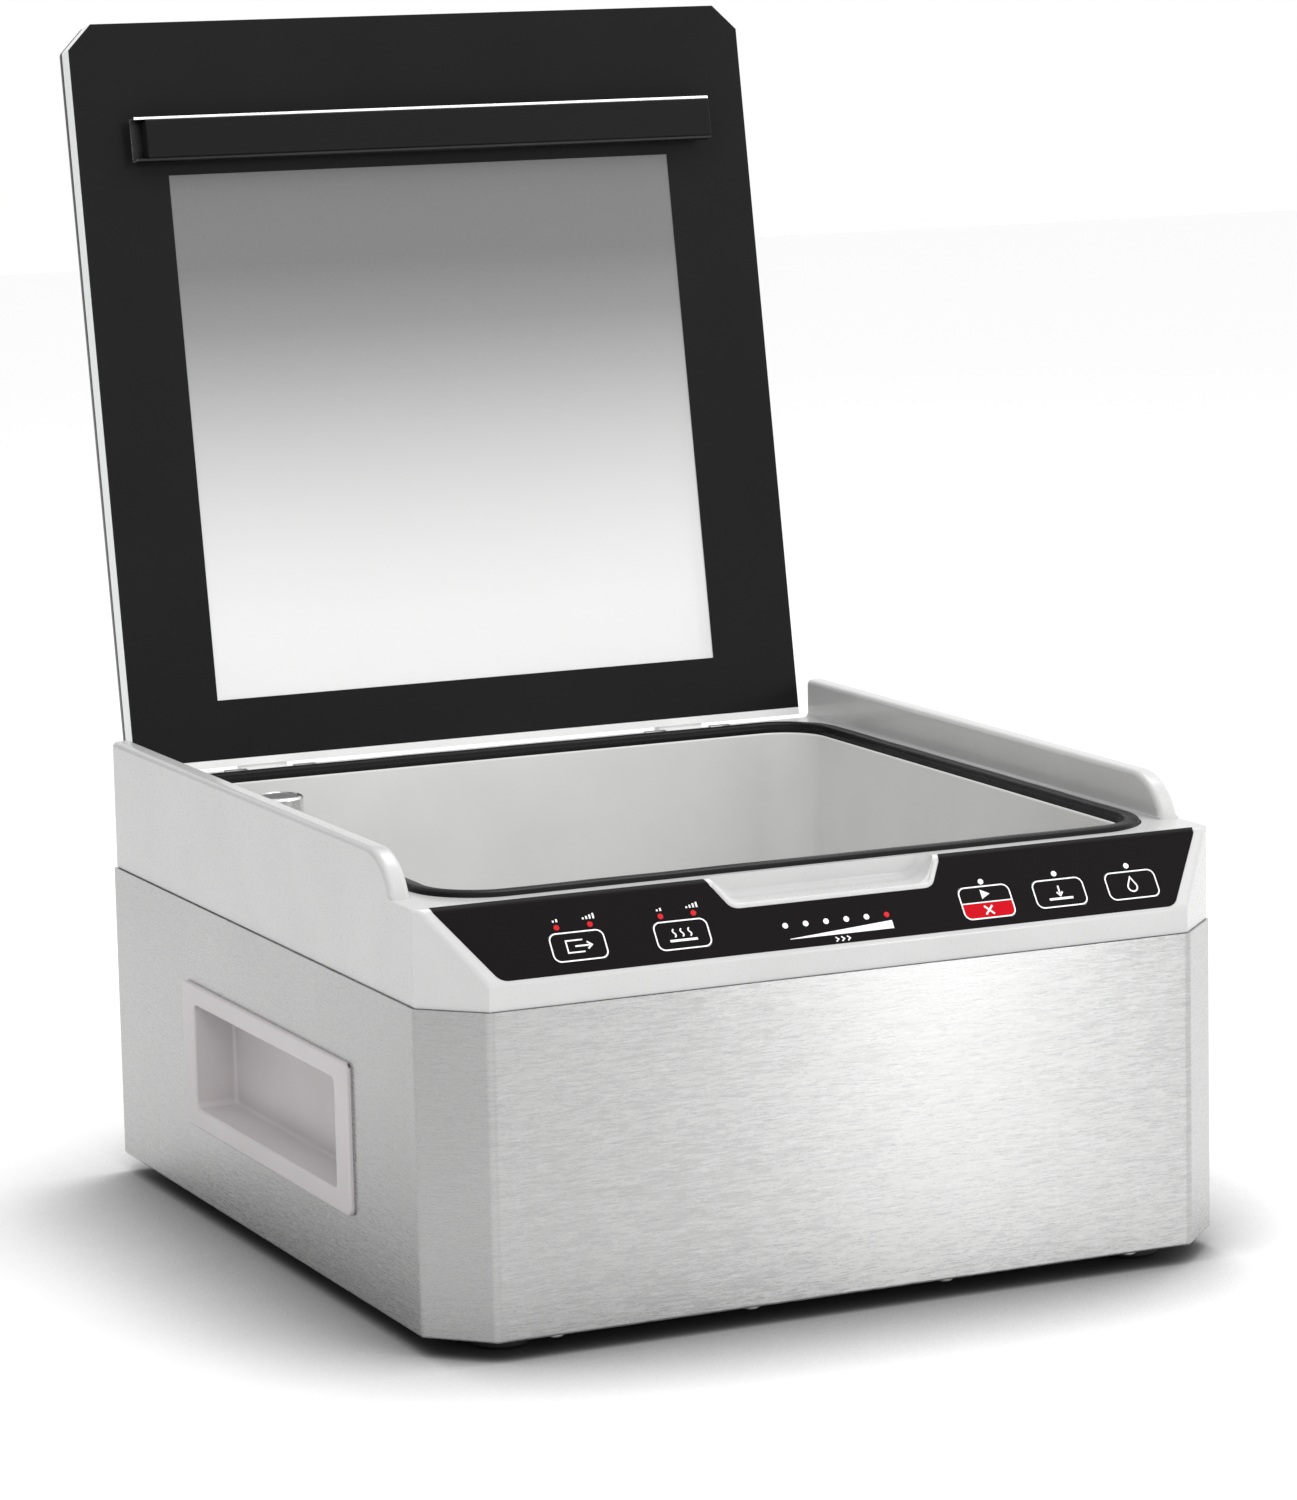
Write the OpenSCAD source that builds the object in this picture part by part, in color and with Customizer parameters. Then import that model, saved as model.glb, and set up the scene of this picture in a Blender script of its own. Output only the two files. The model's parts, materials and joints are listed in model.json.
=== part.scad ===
// Tabletop chamber vacuum sealer, lid standing open on its stop.
// Millimetres, +Z up, -Y is the front. The origin is on the ground, midway
// between the front of the body and the back of the open lid.

/* [Body] */
// Width of the stainless body
body_w = 360; // [356:1:370]
// Depth of the stainless body
body_d = 379; // [377:1:388]
// Height of the stainless wrap
shell_h = 132.6; // [130:0.2:150]
// Width of the chamfer on each front corner
corner_cut = 23; // [18:1:25]
// Thickness of the stainless sheet
sheet_t = 1.2; // [1:0.1:1.6]
// Height of the rubber feet
foot_h = 8; // [6:0.5:12]
// Radius of the rubber feet
foot_r = 12.5; // [10:0.5:14]

/* [Top housing] */
// Height of the upright front band of the plastic top
band_h = 10.9; // [9:0.1:13]
// Rise of the sloped control face above the band
slope_rise = 28.5; // [27:0.5:31]
// Run of the sloped control face, front to back
slope_run = 20.5; // [20:0.5:22]
// Height of the side rails above the deck
rail_h = 18; // [17:0.5:24]
// Thickness of the side rails
rail_t = 9; // [7:0.5:9]
// Wall thickness of the plastic top
wall_t = 3; // [2.5:0.1:3]

/* [Chamber] */
// Inside width of the chamber at its mouth
chamber_w = 310; // [306:1:312]
// Inside depth of the chamber at its mouth, front to back
chamber_d = 314; // [310:1:314]
// Depth of the chamber below its lip
chamber_depth = 70; // [60:1:72]
// Corner radius of the chamber
chamber_r = 21; // [16:1:26]
// Width of the rubber gasket
gasket_w = 8; // [6:0.5:8]

/* [Lid] */
// Width of the lid
lid_w = 334.6; // [328:0.2:336]
// Length of the lid, hinge side to front
lid_l = 337; // [334:1:338]
// Thickness of the clear lid plate
plate_t = 9.6; // [8:0.2:12]
// Thickness of the dark outer cover
cover_t = 4; // [3:0.5:5]
// Angle through which the lid opens, from closed to its stop
open_angle = 99.86; // [92:0.01:104]
// Width of the window in the lid
window_w = 250; // [220:1:260]
// Length of the window in the lid
window_l = 240; // [200:1:242]

/* [Sealing] */
// Length of the seal bar
bar_l = 287; // [270:1:290]
// Lift of the seal bar
bar_lift = 6; // [4:0.5:6]

/* [Controls] */
// Width of a key
key_w = 24; // [22:0.5:25]
// Length of a key up the slope
key_l = 13; // [12:0.5:14]
// Travel of a key
key_travel = 0.4; // [0.3:0.05:0.5]

/* [Side handles] */
// Width of the handle frame, front to back
handle_w = 196; // [180:1:200]
// Height of the handle frame
handle_h = 64; // [58:1:66]
// Depth of the hand recess
handle_depth = 19; // [14:0.5:19]

/* [Hidden] */
$fn = 48;
eps = 0.01;

// Heights of the main levels
shell_z = foot_h;
housing_z = shell_z + shell_h;
band_z = housing_z + band_h;
deck_z = band_z + slope_rise;
rail_z = deck_z + rail_h;

// Plan of the plastic top, which is slightly smaller than the stainless wrap
housing_inset = 1;
front_y = -body_d / 2 + housing_inset;
rear_y = body_d / 2 - housing_inset;
side_x = body_w / 2 - housing_inset;

// Frame of the sloped face: X across, Y up the slope, Z outward
slope_angle = atan2(slope_rise, slope_run);
slope_l = norm([slope_rise, slope_run]);

// Chamber, its lip and the groove that holds the gasket
chamber_y = 8;
lip_t = 1.8;
lip_z = deck_z - 2;
groove_z = deck_z - 5;
tub_t = 3;
floor_z = lip_z - chamber_depth;
floor_inset = 6;
fit_gap = 0.3;
gasket_in_w = chamber_w + 2 * lip_t + 0.4;
gasket_in_d = chamber_d + 2 * lip_t + 0.4;
gasket_r = chamber_r + lip_t;
gasket_rise = 2.5;

// Lid in its closed place, and the hinge that carries it
mask_t = 0.4;
lid_z = deck_z + 3;
lid_rear_y = 177.8;
lid_front_y = lid_rear_y - lid_l;
lid_t = mask_t + plate_t + cover_t;
lid_cut = 11.5;
hinge_y = 186;
hinge_z = deck_z - 2.7;
hinge_x = 105;
knuckle_r = 3.4;
knuckle_w = 22;
hinge_w = 44;
pin_r = 1.5;
pin_fit = 0.05;
hinge_rail_t = 3.4;
window_front_gap = 70;
magnet_r = 3;
magnet_t = 2;
sensor_x = -150;

// The open lid's farthest point back sets where the origin lies
lid_back_y = hinge_y
    + (lid_front_y - hinge_y) * cos(open_angle)
    + (lid_z + lid_t - hinge_z) * sin(open_angle);
origin_y = (lid_back_y - body_d / 2) / 2;

// Counter bar on the lid and seal bar below it
bar_y = lid_rear_y - 282.5;
counter_w = 20;
counter_drop = 13;
counter_standoff = 5;
channel_t = 1.2;
pad_gap = 0.4;
bar_w = 14;
bar_h = 13;
bar_top_z = lid_z - counter_drop - bar_lift - pad_gap;
post_x = 100;
post_r = 5;
piston_r = 13;
piston_h = 6;
piston_z = floor_z - 32;
cylinder_r = 16;
cylinder_bore_r = 13.3;
cylinder_z = floor_z - 42;
nipple_l = 8;

// Vacuum port in the back left corner of the chamber
port_x = -121;
port_y = 133;
port_top_z = lip_z - 1.6;
port_cap_r = 11;
port_cap_h = 8;
port_pipe_r = 8;
port_tail = 12;

// Keys and indicators, across and up the slope
key_s = 12.5;
key_r = 3.5;
key_gap = 0.35;
key_x = [-115, -70, 66.5, 100.5, 134.5];
auto_key_extra = 2;
auto_key_drop = 0.5;
overlay_t = 0.8;
overlay_sink = 0.5;
overlay_low_x = 151;
overlay_top_x = 172;
overlay_top_s = slope_l - 0.6;
overlay_low_s = 1.2;
overlay_r = 6;
lens_r = 1.2;
led_s = 21.2;
progress_s = 11.3;
progress_pitch = 9.1;
progress_x = -25.1;
red_led_x = [-122.2, -107.8, -77.2, -62.8];
white_led_x = [66.5, 100.5, 134.5];
progress_list = [for (i = [0 : 5]) progress_x + i * progress_pitch];
white_progress = [for (i = [0 : 4]) progress_list[i]];
red_progress = [progress_list[5]];
board_n = -12;
board_t = 1.6;
switch_h = 5;
stem_r = 2;

// Finger scoop in the middle of the slope
scoop_top_w = 107.6;
scoop_low_w = 90;
scoop_x = -0.7;
scoop_low_s = 21;
scoop_lip = 2.5;
scoop_floor_z = band_z + (scoop_low_s + scoop_lip) * slope_rise / slope_l;
scoop_back_y = -162.3;
scoop_corner = 6;

// Hand recess in each side
handle_y = 0.75;
handle_z = shell_z + 65.6;
handle_proud = 2;
handle_rim = 14.5;
handle_rim_z = 9;
handle_wall = 2;
handle_r = 3;

// Pump, under the back of the chamber
pump_y = 70;
pump_z = shell_z + 46;
motor_r = 36;
motor_l = 92;
rotor_r = 17.5;
shaft_r = 4;
shaft_fit = 0.05;
crank_l = 34;
crank_w = 64;
crank_x = motor_l / 2 + crank_l / 2;
head_w = 46;
head_port_l = 6;
head_port_h = 3;
bracket_t = 2;
bracket_l = 176;
bracket_w = 84;
bracket_hole_inset = 9;
grommet_h = 5;
inner_z = shell_z + 2 * sheet_t;

// Valves and hoses
valve_x = -134;
vacuum_valve_y = 92;
vent_valve_y = 10;
valve_reach = 19;
valve_port_h = 10;
hose_r = 4;
elbow_r = 4.8;

// Power board
board_x = 70;
board_y = -75;
power_board_z = inner_z + 8;

// Rail front, an arc from the rail's top down to the deck
rail_front_y = -119;
rail_toe = 25;
rail_arc_r = (rail_toe * rail_toe + rail_h * rail_h) / (2 * rail_h);

// Hinge pockets in the back of the deck
hinge_pocket_y = 181.8;
hinge_pocket_z = deck_z - 7;

// Rear panel fittings
rear_face_y = body_d / 2 - sheet_t;
fan_x = -100;
fan_z = shell_z + 52;
fan_w = 60;
fan_t = 20;
fan_hub_r = 13;
blade_r = 26.5;
fan_mount = 25;
inlet_x = 125;
inlet_z = shell_z + 40;
inlet_w = 27;
inlet_h = 20;
inlet_screw = 20;
inlet_plate_t = 2;
rocker_x = 80;
rocker_w = 13;
rocker_h = 19;
rocker_cavity_w = 10;
rocker_cavity_h = 15.6;
rocker_pivot = 4;
rocker_swing = 16;

// Screws and feet
foot_x = body_w / 2 - 36;
foot_y = body_d / 2 - 29;
screw_r = 2;
head_r = 3.6;
head_h = 1.8;
panel_screw_r = 1.7;
panel_head_r = 3.1;
base_screw_x = [-130, -44, 44, 130];
base_screw_y = body_d / 2 - 6;
flange_w = 15;

// ---- Shared shapes ----

module placed() {
    translate([0, -origin_y, 0]) children();
}

module rounded_2d(w, d, r) {
    square([w - 2 * r, d], center = true);
    square([w, d - 2 * r], center = true);
    for (i = [-1, 1], j = [-1, 1])
        translate([i * (w / 2 - r), j * (d / 2 - r)]) circle(r);
}

module rounded_block(w, d, h, r) {
    linear_extrude(h) rounded_2d(w, d, r);
}

module rounded_ring(w, d, h, r, t) {
    linear_extrude(h) difference() {
        rounded_2d(w + 2 * t, d + 2 * t, r + t);
        rounded_2d(w, d, r);
    }
}

// A profile drawn in Y and Z, extruded along X and centred on it
module x_extrude(w) {
    rotate([90, 0, 90]) translate([0, 0, -w / 2]) linear_extrude(w) children();
}

// Plan of the body with both front corners cut, grown or shrunk by g
module body_plan(g) {
    w = body_w / 2 + g;
    d = body_d / 2 + g;
    c = corner_cut + g * (2 - sqrt(2));
    polygon([[-w + c, -d], [w - c, -d], [w, -d + c], [w, d], [-w, d], [-w, -d + c]]);
}

module on_slope() {
    translate([0, front_y, band_z]) rotate([slope_angle, 0, 0]) children();
}

module at_chamber(z) {
    translate([0, chamber_y, z]) children();
}

// Turns pieces drawn on the closed lid up to the open rest pose
module on_open_lid() {
    translate([0, hinge_y, hinge_z]) rotate([-open_angle, 0, 0])
        translate([0, -hinge_y, -hinge_z]) children();
}

module x_cylinder(r, l) {
    rotate([0, 90, 0]) cylinder(r = r, h = l, center = true);
}

module y_cylinder(r, l) {
    rotate([-90, 0, 0]) cylinder(r = r, h = l);
}

// ---- Sheet metal and feet ----

module body_shell() {
    color("silver") placed() difference() {
        translate([0, 0, shell_z]) linear_extrude(shell_h) body_plan(0);
        translate([0, 0, shell_z + sheet_t]) linear_extrude(shell_h) body_plan(-sheet_t);
        translate([0, 0, shell_z - 1]) linear_extrude(sheet_t + 2) body_plan(-flange_w);
        translate([-body_w / 2 + sheet_t, body_d / 2 - sheet_t - eps, shell_z - 1])
            cube([body_w - 2 * sheet_t, sheet_t + 1, shell_h + 2]);
        for (i = [-1, 1])
            translate([i * body_w / 2, handle_y, handle_z]) rotate([90, 0, 90])
                translate([0, 0, -10]) linear_extrude(20) handle_hole_2d(fit_gap);
        base_fixings(screw_r + 0.3);
        foot_fixings(screw_r + 0.3);
    }
}

module handle_hole_2d(g) {
    w = handle_w - 2 * handle_rim + 2 * handle_wall + 2 * g;
    h = handle_h - 2 * handle_rim_z + 2 * handle_wall + 2 * g;
    rounded_2d(w, h, handle_r + handle_wall + g);
}

module base_fixings(r) {
    for (x = base_screw_x, j = [-1, 1])
        translate([x, j * base_screw_y, shell_z - 5]) cylinder(r = r, h = 20);
}

module foot_fixings(r) {
    for (i = [-1, 1], j = [-1, 1])
        translate([i * foot_x, j * foot_y, shell_z - 5]) cylinder(r = r, h = 20);
}

module base_plate() {
    color("gray") placed() difference() {
        translate([0, 0, shell_z + sheet_t]) linear_extrude(sheet_t) body_plan(-sheet_t - fit_gap);
        base_fixings(screw_r + 0.3);
        foot_fixings(screw_r + 0.3);
        for (i = [-5 : 5])
            translate([i * 12, -20, shell_z]) rounded_block(5, 60, 10, 2.4);
    }
}

module rear_panel() {
    color("silver") placed() difference() {
        translate([0, rear_face_y, shell_z + 2 * sheet_t + fit_gap])
            translate([-body_w / 2 + sheet_t + fit_gap, 0, 0])
                cube([body_w - 2 * sheet_t - 2 * fit_gap, sheet_t, shell_h - 2 * sheet_t - 2 * fit_gap]);
        translate([fan_x, rear_face_y - 1, fan_z]) fan_grille();
        translate([fan_x, rear_face_y - 1, fan_z]) fan_fixings(screw_r);
        translate([inlet_x, rear_face_y - 1, inlet_z]) rotate([90, 0, 0]) translate([0, 0, -5])
            rounded_block(inlet_w + 1, inlet_h + 1, 10, 3);
        translate([rocker_x, rear_face_y, inlet_z])
            cube([rocker_w + 1, 10, rocker_h + 1], center = true);
        inlet_fixings(screw_r);
        for (i = [0 : 8])
            translate([-10, rear_face_y, shell_z + 70 + i * 6]) rotate([90, 0, 0])
                translate([0, 0, -5]) rounded_block(90, 3, 10, 1.4);
    }
}

// Three rings of curved slots in front of the fan
module fan_grille() {
    for (ring = [0 : 2], spoke = [0 : 3])
        rotate([0, spoke * 90 + 8, 0]) rotate([-90, 0, 0])
            rotate_extrude(angle = 74) translate([8 + ring * 6.5, 0]) square([4, 4]);
}

module fan_fixings(r) {
    for (i = [-1, 1], j = [-1, 1])
        translate([i * fan_mount, 0, j * fan_mount]) y_cylinder(r, 8);
}

module inlet_fixings(r) {
    for (i = [-1, 1])
        translate([inlet_x + i * inlet_screw, rear_face_y - 6, inlet_z]) y_cylinder(r, 10);
}

module feet() {
    color("black") placed() for (i = [-1, 1], j = [-1, 1])
        translate([i * foot_x, j * foot_y, 0]) difference() {
            rotate_extrude() polygon([
                [0, 0], [foot_r - 1.5, 0], [foot_r, 1.5], [foot_r - 0.8, foot_h], [0, foot_h]
            ]);
            translate([0, 0, -1]) cylinder(r = head_r + 0.8, h = 4);
            translate([0, 0, -1]) cylinder(r = screw_r + 0.2, h = foot_h + 2);
        }
}

// A pan-head screw standing on its head, pointing up
module up_screw(l, shank = screw_r, head = head_r) {
    rotate_extrude() polygon([
        [0, 0], [head - 1, 0], [head, 0.8], [head, head_h], [shank, head_h],
        [shank, head_h + l], [0, head_h + l]
    ]);
}

module foot_screws() {
    color("gainsboro") placed() for (i = [-1, 1], j = [-1, 1])
        translate([i * foot_x, j * foot_y, 3 - head_h]) up_screw(foot_h + 2);
}

module base_screws() {
    color("gainsboro") placed() for (x = base_screw_x, j = [-1, 1])
        translate([x, j * base_screw_y, shell_z - head_h]) up_screw(6);
}

module rear_screws() {
    color("gainsboro") placed() {
        translate([fan_x, body_d / 2, fan_z]) for (i = [-1, 1], j = [-1, 1])
            translate([i * fan_mount, head_h, j * fan_mount]) rotate([90, 0, 0])
                up_screw(6, panel_screw_r, panel_head_r);
        for (i = [-1, 1])
            translate([inlet_x + i * inlet_screw, body_d / 2 + head_h + inlet_plate_t, inlet_z])
                rotate([90, 0, 0]) up_screw(6, panel_screw_r, panel_head_r);
    }
}

// ---- Plastic top, overlay and keys ----

// Side profile of the plastic top without its rails, shrunk by g
module top_profile(g) {
    low_z = housing_z - (g > 0 ? 1 : 0);
    knee_z = band_z + g * ((1 - sin(slope_angle)) * tan(slope_angle) - cos(slope_angle));
    brow_y = front_y + (slope_rise - g + g * cos(slope_angle)) / tan(slope_angle)
        + g * sin(slope_angle);
    polygon([
        [front_y + g, low_z], [front_y + g, knee_z], [brow_y, deck_z - g],
        [rear_y - g, deck_z - g], [rear_y - g, low_z]
    ]);
}

module top_envelope(g) {
    intersection() {
        translate([0, 0, housing_z - 2]) linear_extrude(deck_z - housing_z + 3)
            body_plan(-housing_inset - g);
        x_extrude(body_w) top_profile(g);
    }
}

module rail_profile() {
    sweep = acos((rail_arc_r - rail_h) / rail_arc_r);
    polygon(concat(
        [[rear_y, deck_z - 1], [rear_y, rail_z]],
        [for (i = [0 : 10]) [
            rail_front_y - rail_arc_r * sin(sweep * i / 10),
            rail_z - rail_arc_r + rail_arc_r * cos(sweep * i / 10)
        ]],
        [[rail_front_y - rail_toe, deck_z - 1]]
    ));
}

// The scoop's outline seen from the front, in X and Z, grown by g
module scoop_outline(g) {
    low = scoop_low_w / 2 - scoop_lip + g;
    top = scoop_top_w / 2 - scoop_lip + g;
    polygon([
        [-low, scoop_floor_z - g], [low, scoop_floor_z - g], [top, deck_z + 1], [-top, deck_z + 1]
    ]);
}

module scoop_block(g, back_y) {
    translate([scoop_x, back_y, 0]) rotate([90, 0, 0]) linear_extrude(40) scoop_outline(g);
}

module hinge_pockets(g) {
    for (i = [-1, 1])
        translate([i * hinge_x - hinge_w / 2 - 0.5 - g, hinge_pocket_y - g, hinge_pocket_z - g])
            cube([hinge_w + 1 + 2 * g, rear_y - hinge_pocket_y + g + (g > 0 ? 0 : 1), 20]);
}

module key_places() {
    for (i = [0 : len(key_x) - 1])
        translate([key_x[i], key_s_of(i), 0]) let ($key = i) children();
}

function key_s_of(i) = i == 2 ? key_s - auto_key_drop : key_s;
function key_l_of(i) = i == 2 ? key_l + auto_key_extra : key_l;

module lens_places(list, s) {
    for (x = list)
        translate([x, s, 0]) children();
}

module all_lenses(r, low, high) {
    translate([0, 0, low]) {
        lens_places(concat(red_led_x, white_led_x), led_s) cylinder(r = r, h = high - low);
        lens_places(progress_list, progress_s) cylinder(r = r, h = high - low);
    }
}

// Overlay outline in slope coordinates: a trapezoid with rounded lower corners
module overlay_outline() {
    lean = atan2(overlay_top_s - overlay_low_s, overlay_top_x - overlay_low_x);
    cx = overlay_low_x - overlay_r * tan(lean / 2);
    arc = [for (i = [0 : 6]) let (a = -90 + lean * i / 6)
        [cx + overlay_r * cos(a), overlay_low_s + overlay_r + overlay_r * sin(a)]];
    polygon(concat(
        arc,
        [[overlay_top_x, overlay_top_s], [-overlay_top_x, overlay_top_s]],
        [for (i = [6 : -1 : 0]) [-arc[i][0], arc[i][1]]]
    ));
}

// The scoop's cut in the overlay, in slope coordinates, with rounded lower corners
module scoop_notch_2d() {
    lean = atan2(slope_l - scoop_low_s, (scoop_top_w - scoop_low_w) / 2);
    cx = scoop_low_w / 2 - scoop_corner * tan(lean / 2);
    arc = [for (i = [0 : 5]) let (a = -90 + lean * i / 5)
        [cx + scoop_corner * cos(a), scoop_low_s + scoop_corner + scoop_corner * sin(a)]];
    translate([scoop_x, 0]) polygon(concat(
        arc,
        [[scoop_top_w / 2, slope_l + 1], [-scoop_top_w / 2, slope_l + 1]],
        [for (i = [5 : -1 : 0]) [-arc[i][0], arc[i][1]]]
    ));
}

module top_housing() {
    opening_w = gasket_in_w + 2 * gasket_w + 0.2;
    opening_d = gasket_in_d + 2 * gasket_w + 0.2;
    color("lightgray") placed() difference() {
        union() {
            difference() {
                top_envelope(0);
                top_envelope(wall_t);
            }
            intersection() {
                top_envelope(0);
                union() {
                    scoop_block(wall_t, scoop_back_y + wall_t);
                    hinge_pockets(wall_t);
                }
            }
            for (i = [-1, 1])
                translate([i * (side_x - rail_t / 2), 0, 0]) x_extrude(rail_t) rail_profile();
        }
        for (i = [-1, 1])
            translate([i * (side_x - rail_t / 2), 35, housing_z])
                linear_extrude(rail_z - housing_z - wall_t) square([2.6, 280], center = true);
        scoop_block(0, scoop_back_y);
        hinge_pockets(0);
        at_chamber(deck_z - 20) rounded_block(opening_w, opening_d, 30, gasket_r + gasket_w);
        on_slope() {
            translate([0, 0, -overlay_sink]) linear_extrude(5) overlay_sheet_2d();
            all_lenses(lens_r + 0.05, -wall_t - 2, 1);
            key_places() {
                translate([0, 0, -wall_t - 2]) cylinder(r = stem_r + fit_gap, h = wall_t + 2);
                translate([0, 0, -overlay_sink - key_travel - fit_gap])
                    key_block(key_gap, 4, $key);
            }
        }
    }
}

module overlay_sheet_2d() {
    difference() {
        overlay_outline();
        scoop_notch_2d();
    }
}

module key_block(g, h, i) {
    rounded_block(key_w + 2 * g, key_l_of(i) + 2 * g, h, key_r + g);
}

module control_overlay() {
    color([0.09, 0.09, 0.1]) placed() on_slope() difference() {
        translate([0, 0, -overlay_sink]) linear_extrude(overlay_t) overlay_sheet_2d();
        all_lenses(lens_r + 0.05, -2, 1);
        translate([0, 0, -2]) key_places() key_block(key_gap, 4, $key);
    }
}

module key_piece(i) {
    low_n = board_n + board_t + switch_h + key_travel + 0.05;
    placed() on_slope() translate([key_x[i], key_s_of(i), 0]) {
        translate([0, 0, -overlay_sink]) key_block(0, overlay_t, i);
        translate([0, 0, low_n]) cylinder(r = stem_r, h = -overlay_sink - low_n + eps);
    }
}

module key_vacuum() {
    color([0.1, 0.1, 0.11]) key_piece(0);
}

module key_sealing() {
    color([0.1, 0.1, 0.11]) key_piece(1);
}

module key_auto_cancel() {
    color([0.75, 0.1, 0.12]) key_piece(2);
}

module key_seal() {
    color([0.1, 0.1, 0.11]) key_piece(3);
}

module key_marinate() {
    color([0.1, 0.1, 0.11]) key_piece(4);
}

module lens() {
    translate([0, 0, -wall_t]) cylinder(r = lens_r, h = wall_t + 0.45);
}

module red_indicator_lenses() {
    color("red") placed() on_slope() {
        lens_places(red_led_x, led_s) lens();
        lens_places(red_progress, progress_s) lens();
    }
}

module white_indicator_lenses() {
    color("white") placed() on_slope() {
        lens_places(white_led_x, led_s) lens();
        lens_places(white_progress, progress_s) lens();
    }
}

module control_board() {
    board_w = 300;
    color("darkgreen") placed() on_slope() difference() {
        translate([-board_w / 2, 3.5, board_n]) cube([board_w, 20.5, board_t]);
        for (i = [-1, 1])
            translate([i * (board_w / 2 - 5), 13, board_n - 1]) cylinder(r = 1.6, h = 4);
    }
}

module key_switches() {
    color("dimgray") placed() on_slope() key_places()
        translate([0, 0, board_n + board_t]) {
            translate([-3, -3, 0]) cube([6, 6, 3.5]);
            cylinder(r = 1.7, h = switch_h);
        }
}

// ---- Chamber ----

// The inside of the chamber, drafted inward towards its floor, grown by g
module chamber_form(g, top_z) {
    hull() {
        at_chamber(floor_z - g)
            rounded_block(chamber_w - 2 * floor_inset + 2 * g, chamber_d - 2 * floor_inset + 2 * g,
                eps, chamber_r + g, $fn = 32);
        at_chamber(top_z) rounded_block(chamber_w + 2 * g, chamber_d + 2 * g, eps,
            chamber_r + g, $fn = 32);
    }
}

module chamber_tub() {
    flange_t = 3;
    side_rim = 4;
    rear_rim = 3;
    plan_w = gasket_in_w + 2 * (gasket_w + side_rim);
    plan_d = gasket_in_d + 2 * gasket_w + rear_rim;
    color([0.78, 0.78, 0.77]) placed() difference() {
        union() {
            chamber_form(tub_t, groove_z - 1);
            translate([0, rear_rim / 2, 0]) at_chamber(groove_z - flange_t)
                rounded_block(plan_w, plan_d, flange_t, gasket_r + gasket_w);
            at_chamber(groove_z - flange_t)
                rounded_block(chamber_w + 2 * lip_t, chamber_d + 2 * lip_t,
                    lip_z - groove_z + flange_t, gasket_r);
        }
        chamber_form(0, lip_z + 1);
        for (i = [-1, 1])
            translate([i * post_x, bar_y, floor_z - 10]) cylinder(r = post_r + 3, h = 20);
        translate([port_x, port_y, floor_z - 10]) cylinder(r = port_pipe_r + 0.1, h = 20);
    }
}

module chamber_gasket() {
    color([0.07, 0.07, 0.07]) placed() at_chamber(groove_z) {
        rounded_ring(gasket_in_w, gasket_in_d, deck_z - groove_z, gasket_r + 0.2, gasket_w);
        rounded_ring(gasket_in_w + 1.6, gasket_in_d + 1.6, deck_z + gasket_rise - groove_z,
            gasket_r + 1, gasket_w - 1.6);
    }
}

module port_standpipe() {
    flange_r = 13;
    color("gainsboro") placed() translate([port_x, port_y, 0]) difference() {
        union() {
            translate([0, 0, floor_z - tub_t - port_tail])
                cylinder(r = port_pipe_r, h = port_top_z - 4 - floor_z + tub_t + port_tail);
            translate([0, 0, floor_z]) cylinder(r = flange_r, h = 3);
        }
        translate([0, 0, floor_z - 30]) cylinder(r = port_pipe_r - 2, h = 150);
    }
}

module port_cap() {
    low_z = port_top_z - port_cap_h;
    color("silver") placed() translate([port_x, port_y, low_z]) difference() {
        rotate_extrude() polygon([
            [0, 0], [port_cap_r, 0], [port_cap_r, port_cap_h - 1], [port_cap_r - 1, port_cap_h],
            [0, port_cap_h]
        ]);
        translate([0, 0, -1]) cylinder(r = port_pipe_r + 0.1, h = port_cap_h - 3 + 1);
        for (a = [0 : 60 : 300])
            rotate(a) translate([port_pipe_r + 1.4, 0, -1]) cylinder(r = 0.9, h = 4);
    }
}

module port_o_ring() {
    ring_r = 1.4;
    color("black") placed() translate([port_x, port_y, port_top_z - port_cap_h - ring_r - 0.1])
        rotate_extrude() translate([port_pipe_r + ring_r + 0.1, 0]) circle(ring_r, $fn = 24);
}

// ---- Seal bar and its lift ----

module bar_posts() {
    for (i = [-1, 1])
        translate([i * post_x, bar_y, 0]) children();
}

module seal_bar() {
    top_z = bar_top_z - 0.6;
    color("silver") placed() difference() {
        translate([-bar_l / 2, bar_y - bar_w / 2, top_z - bar_h]) cube([bar_l, bar_w, bar_h]);
        for (j = [-1, 1])
            translate([-bar_l / 2 - 1, bar_y + j * bar_w / 2 - 1.2, top_z - 8]) cube([bar_l + 2, 2.4, 3]);
        bar_posts() translate([0, 0, top_z - bar_h - 1]) cylinder(r = 3, h = 7);
    }
}

module seal_element() {
    element_w = 5;
    color("orange") placed() translate([-bar_l / 2 + 6, bar_y - element_w / 2, bar_top_z - 0.6])
        cube([bar_l - 12, element_w, 0.3]);
}

module seal_tape() {
    color("tan") placed() difference() {
        translate([-bar_l / 2 + 2, bar_y - bar_w / 2 + 0.5, bar_top_z - 0.6])
            cube([bar_l - 4, bar_w - 1, 0.6]);
        translate([-bar_l / 2 + 5.9, bar_y - 2.6, bar_top_z - 1]) cube([bar_l - 11.8, 5.2, 0.7]);
    }
}

module lift_posts() {
    shoulder_z = bar_top_z - 0.6 - bar_h;
    color("lightsteelblue") placed() bar_posts() {
        translate([0, 0, piston_z]) cylinder(r = piston_r, h = piston_h);
        translate([0, 0, piston_z]) cylinder(r = post_r, h = shoulder_z - piston_z);
        translate([0, 0, piston_z]) cylinder(r = 2.9, h = shoulder_z + 5.5 - piston_z);
    }
}

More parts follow.
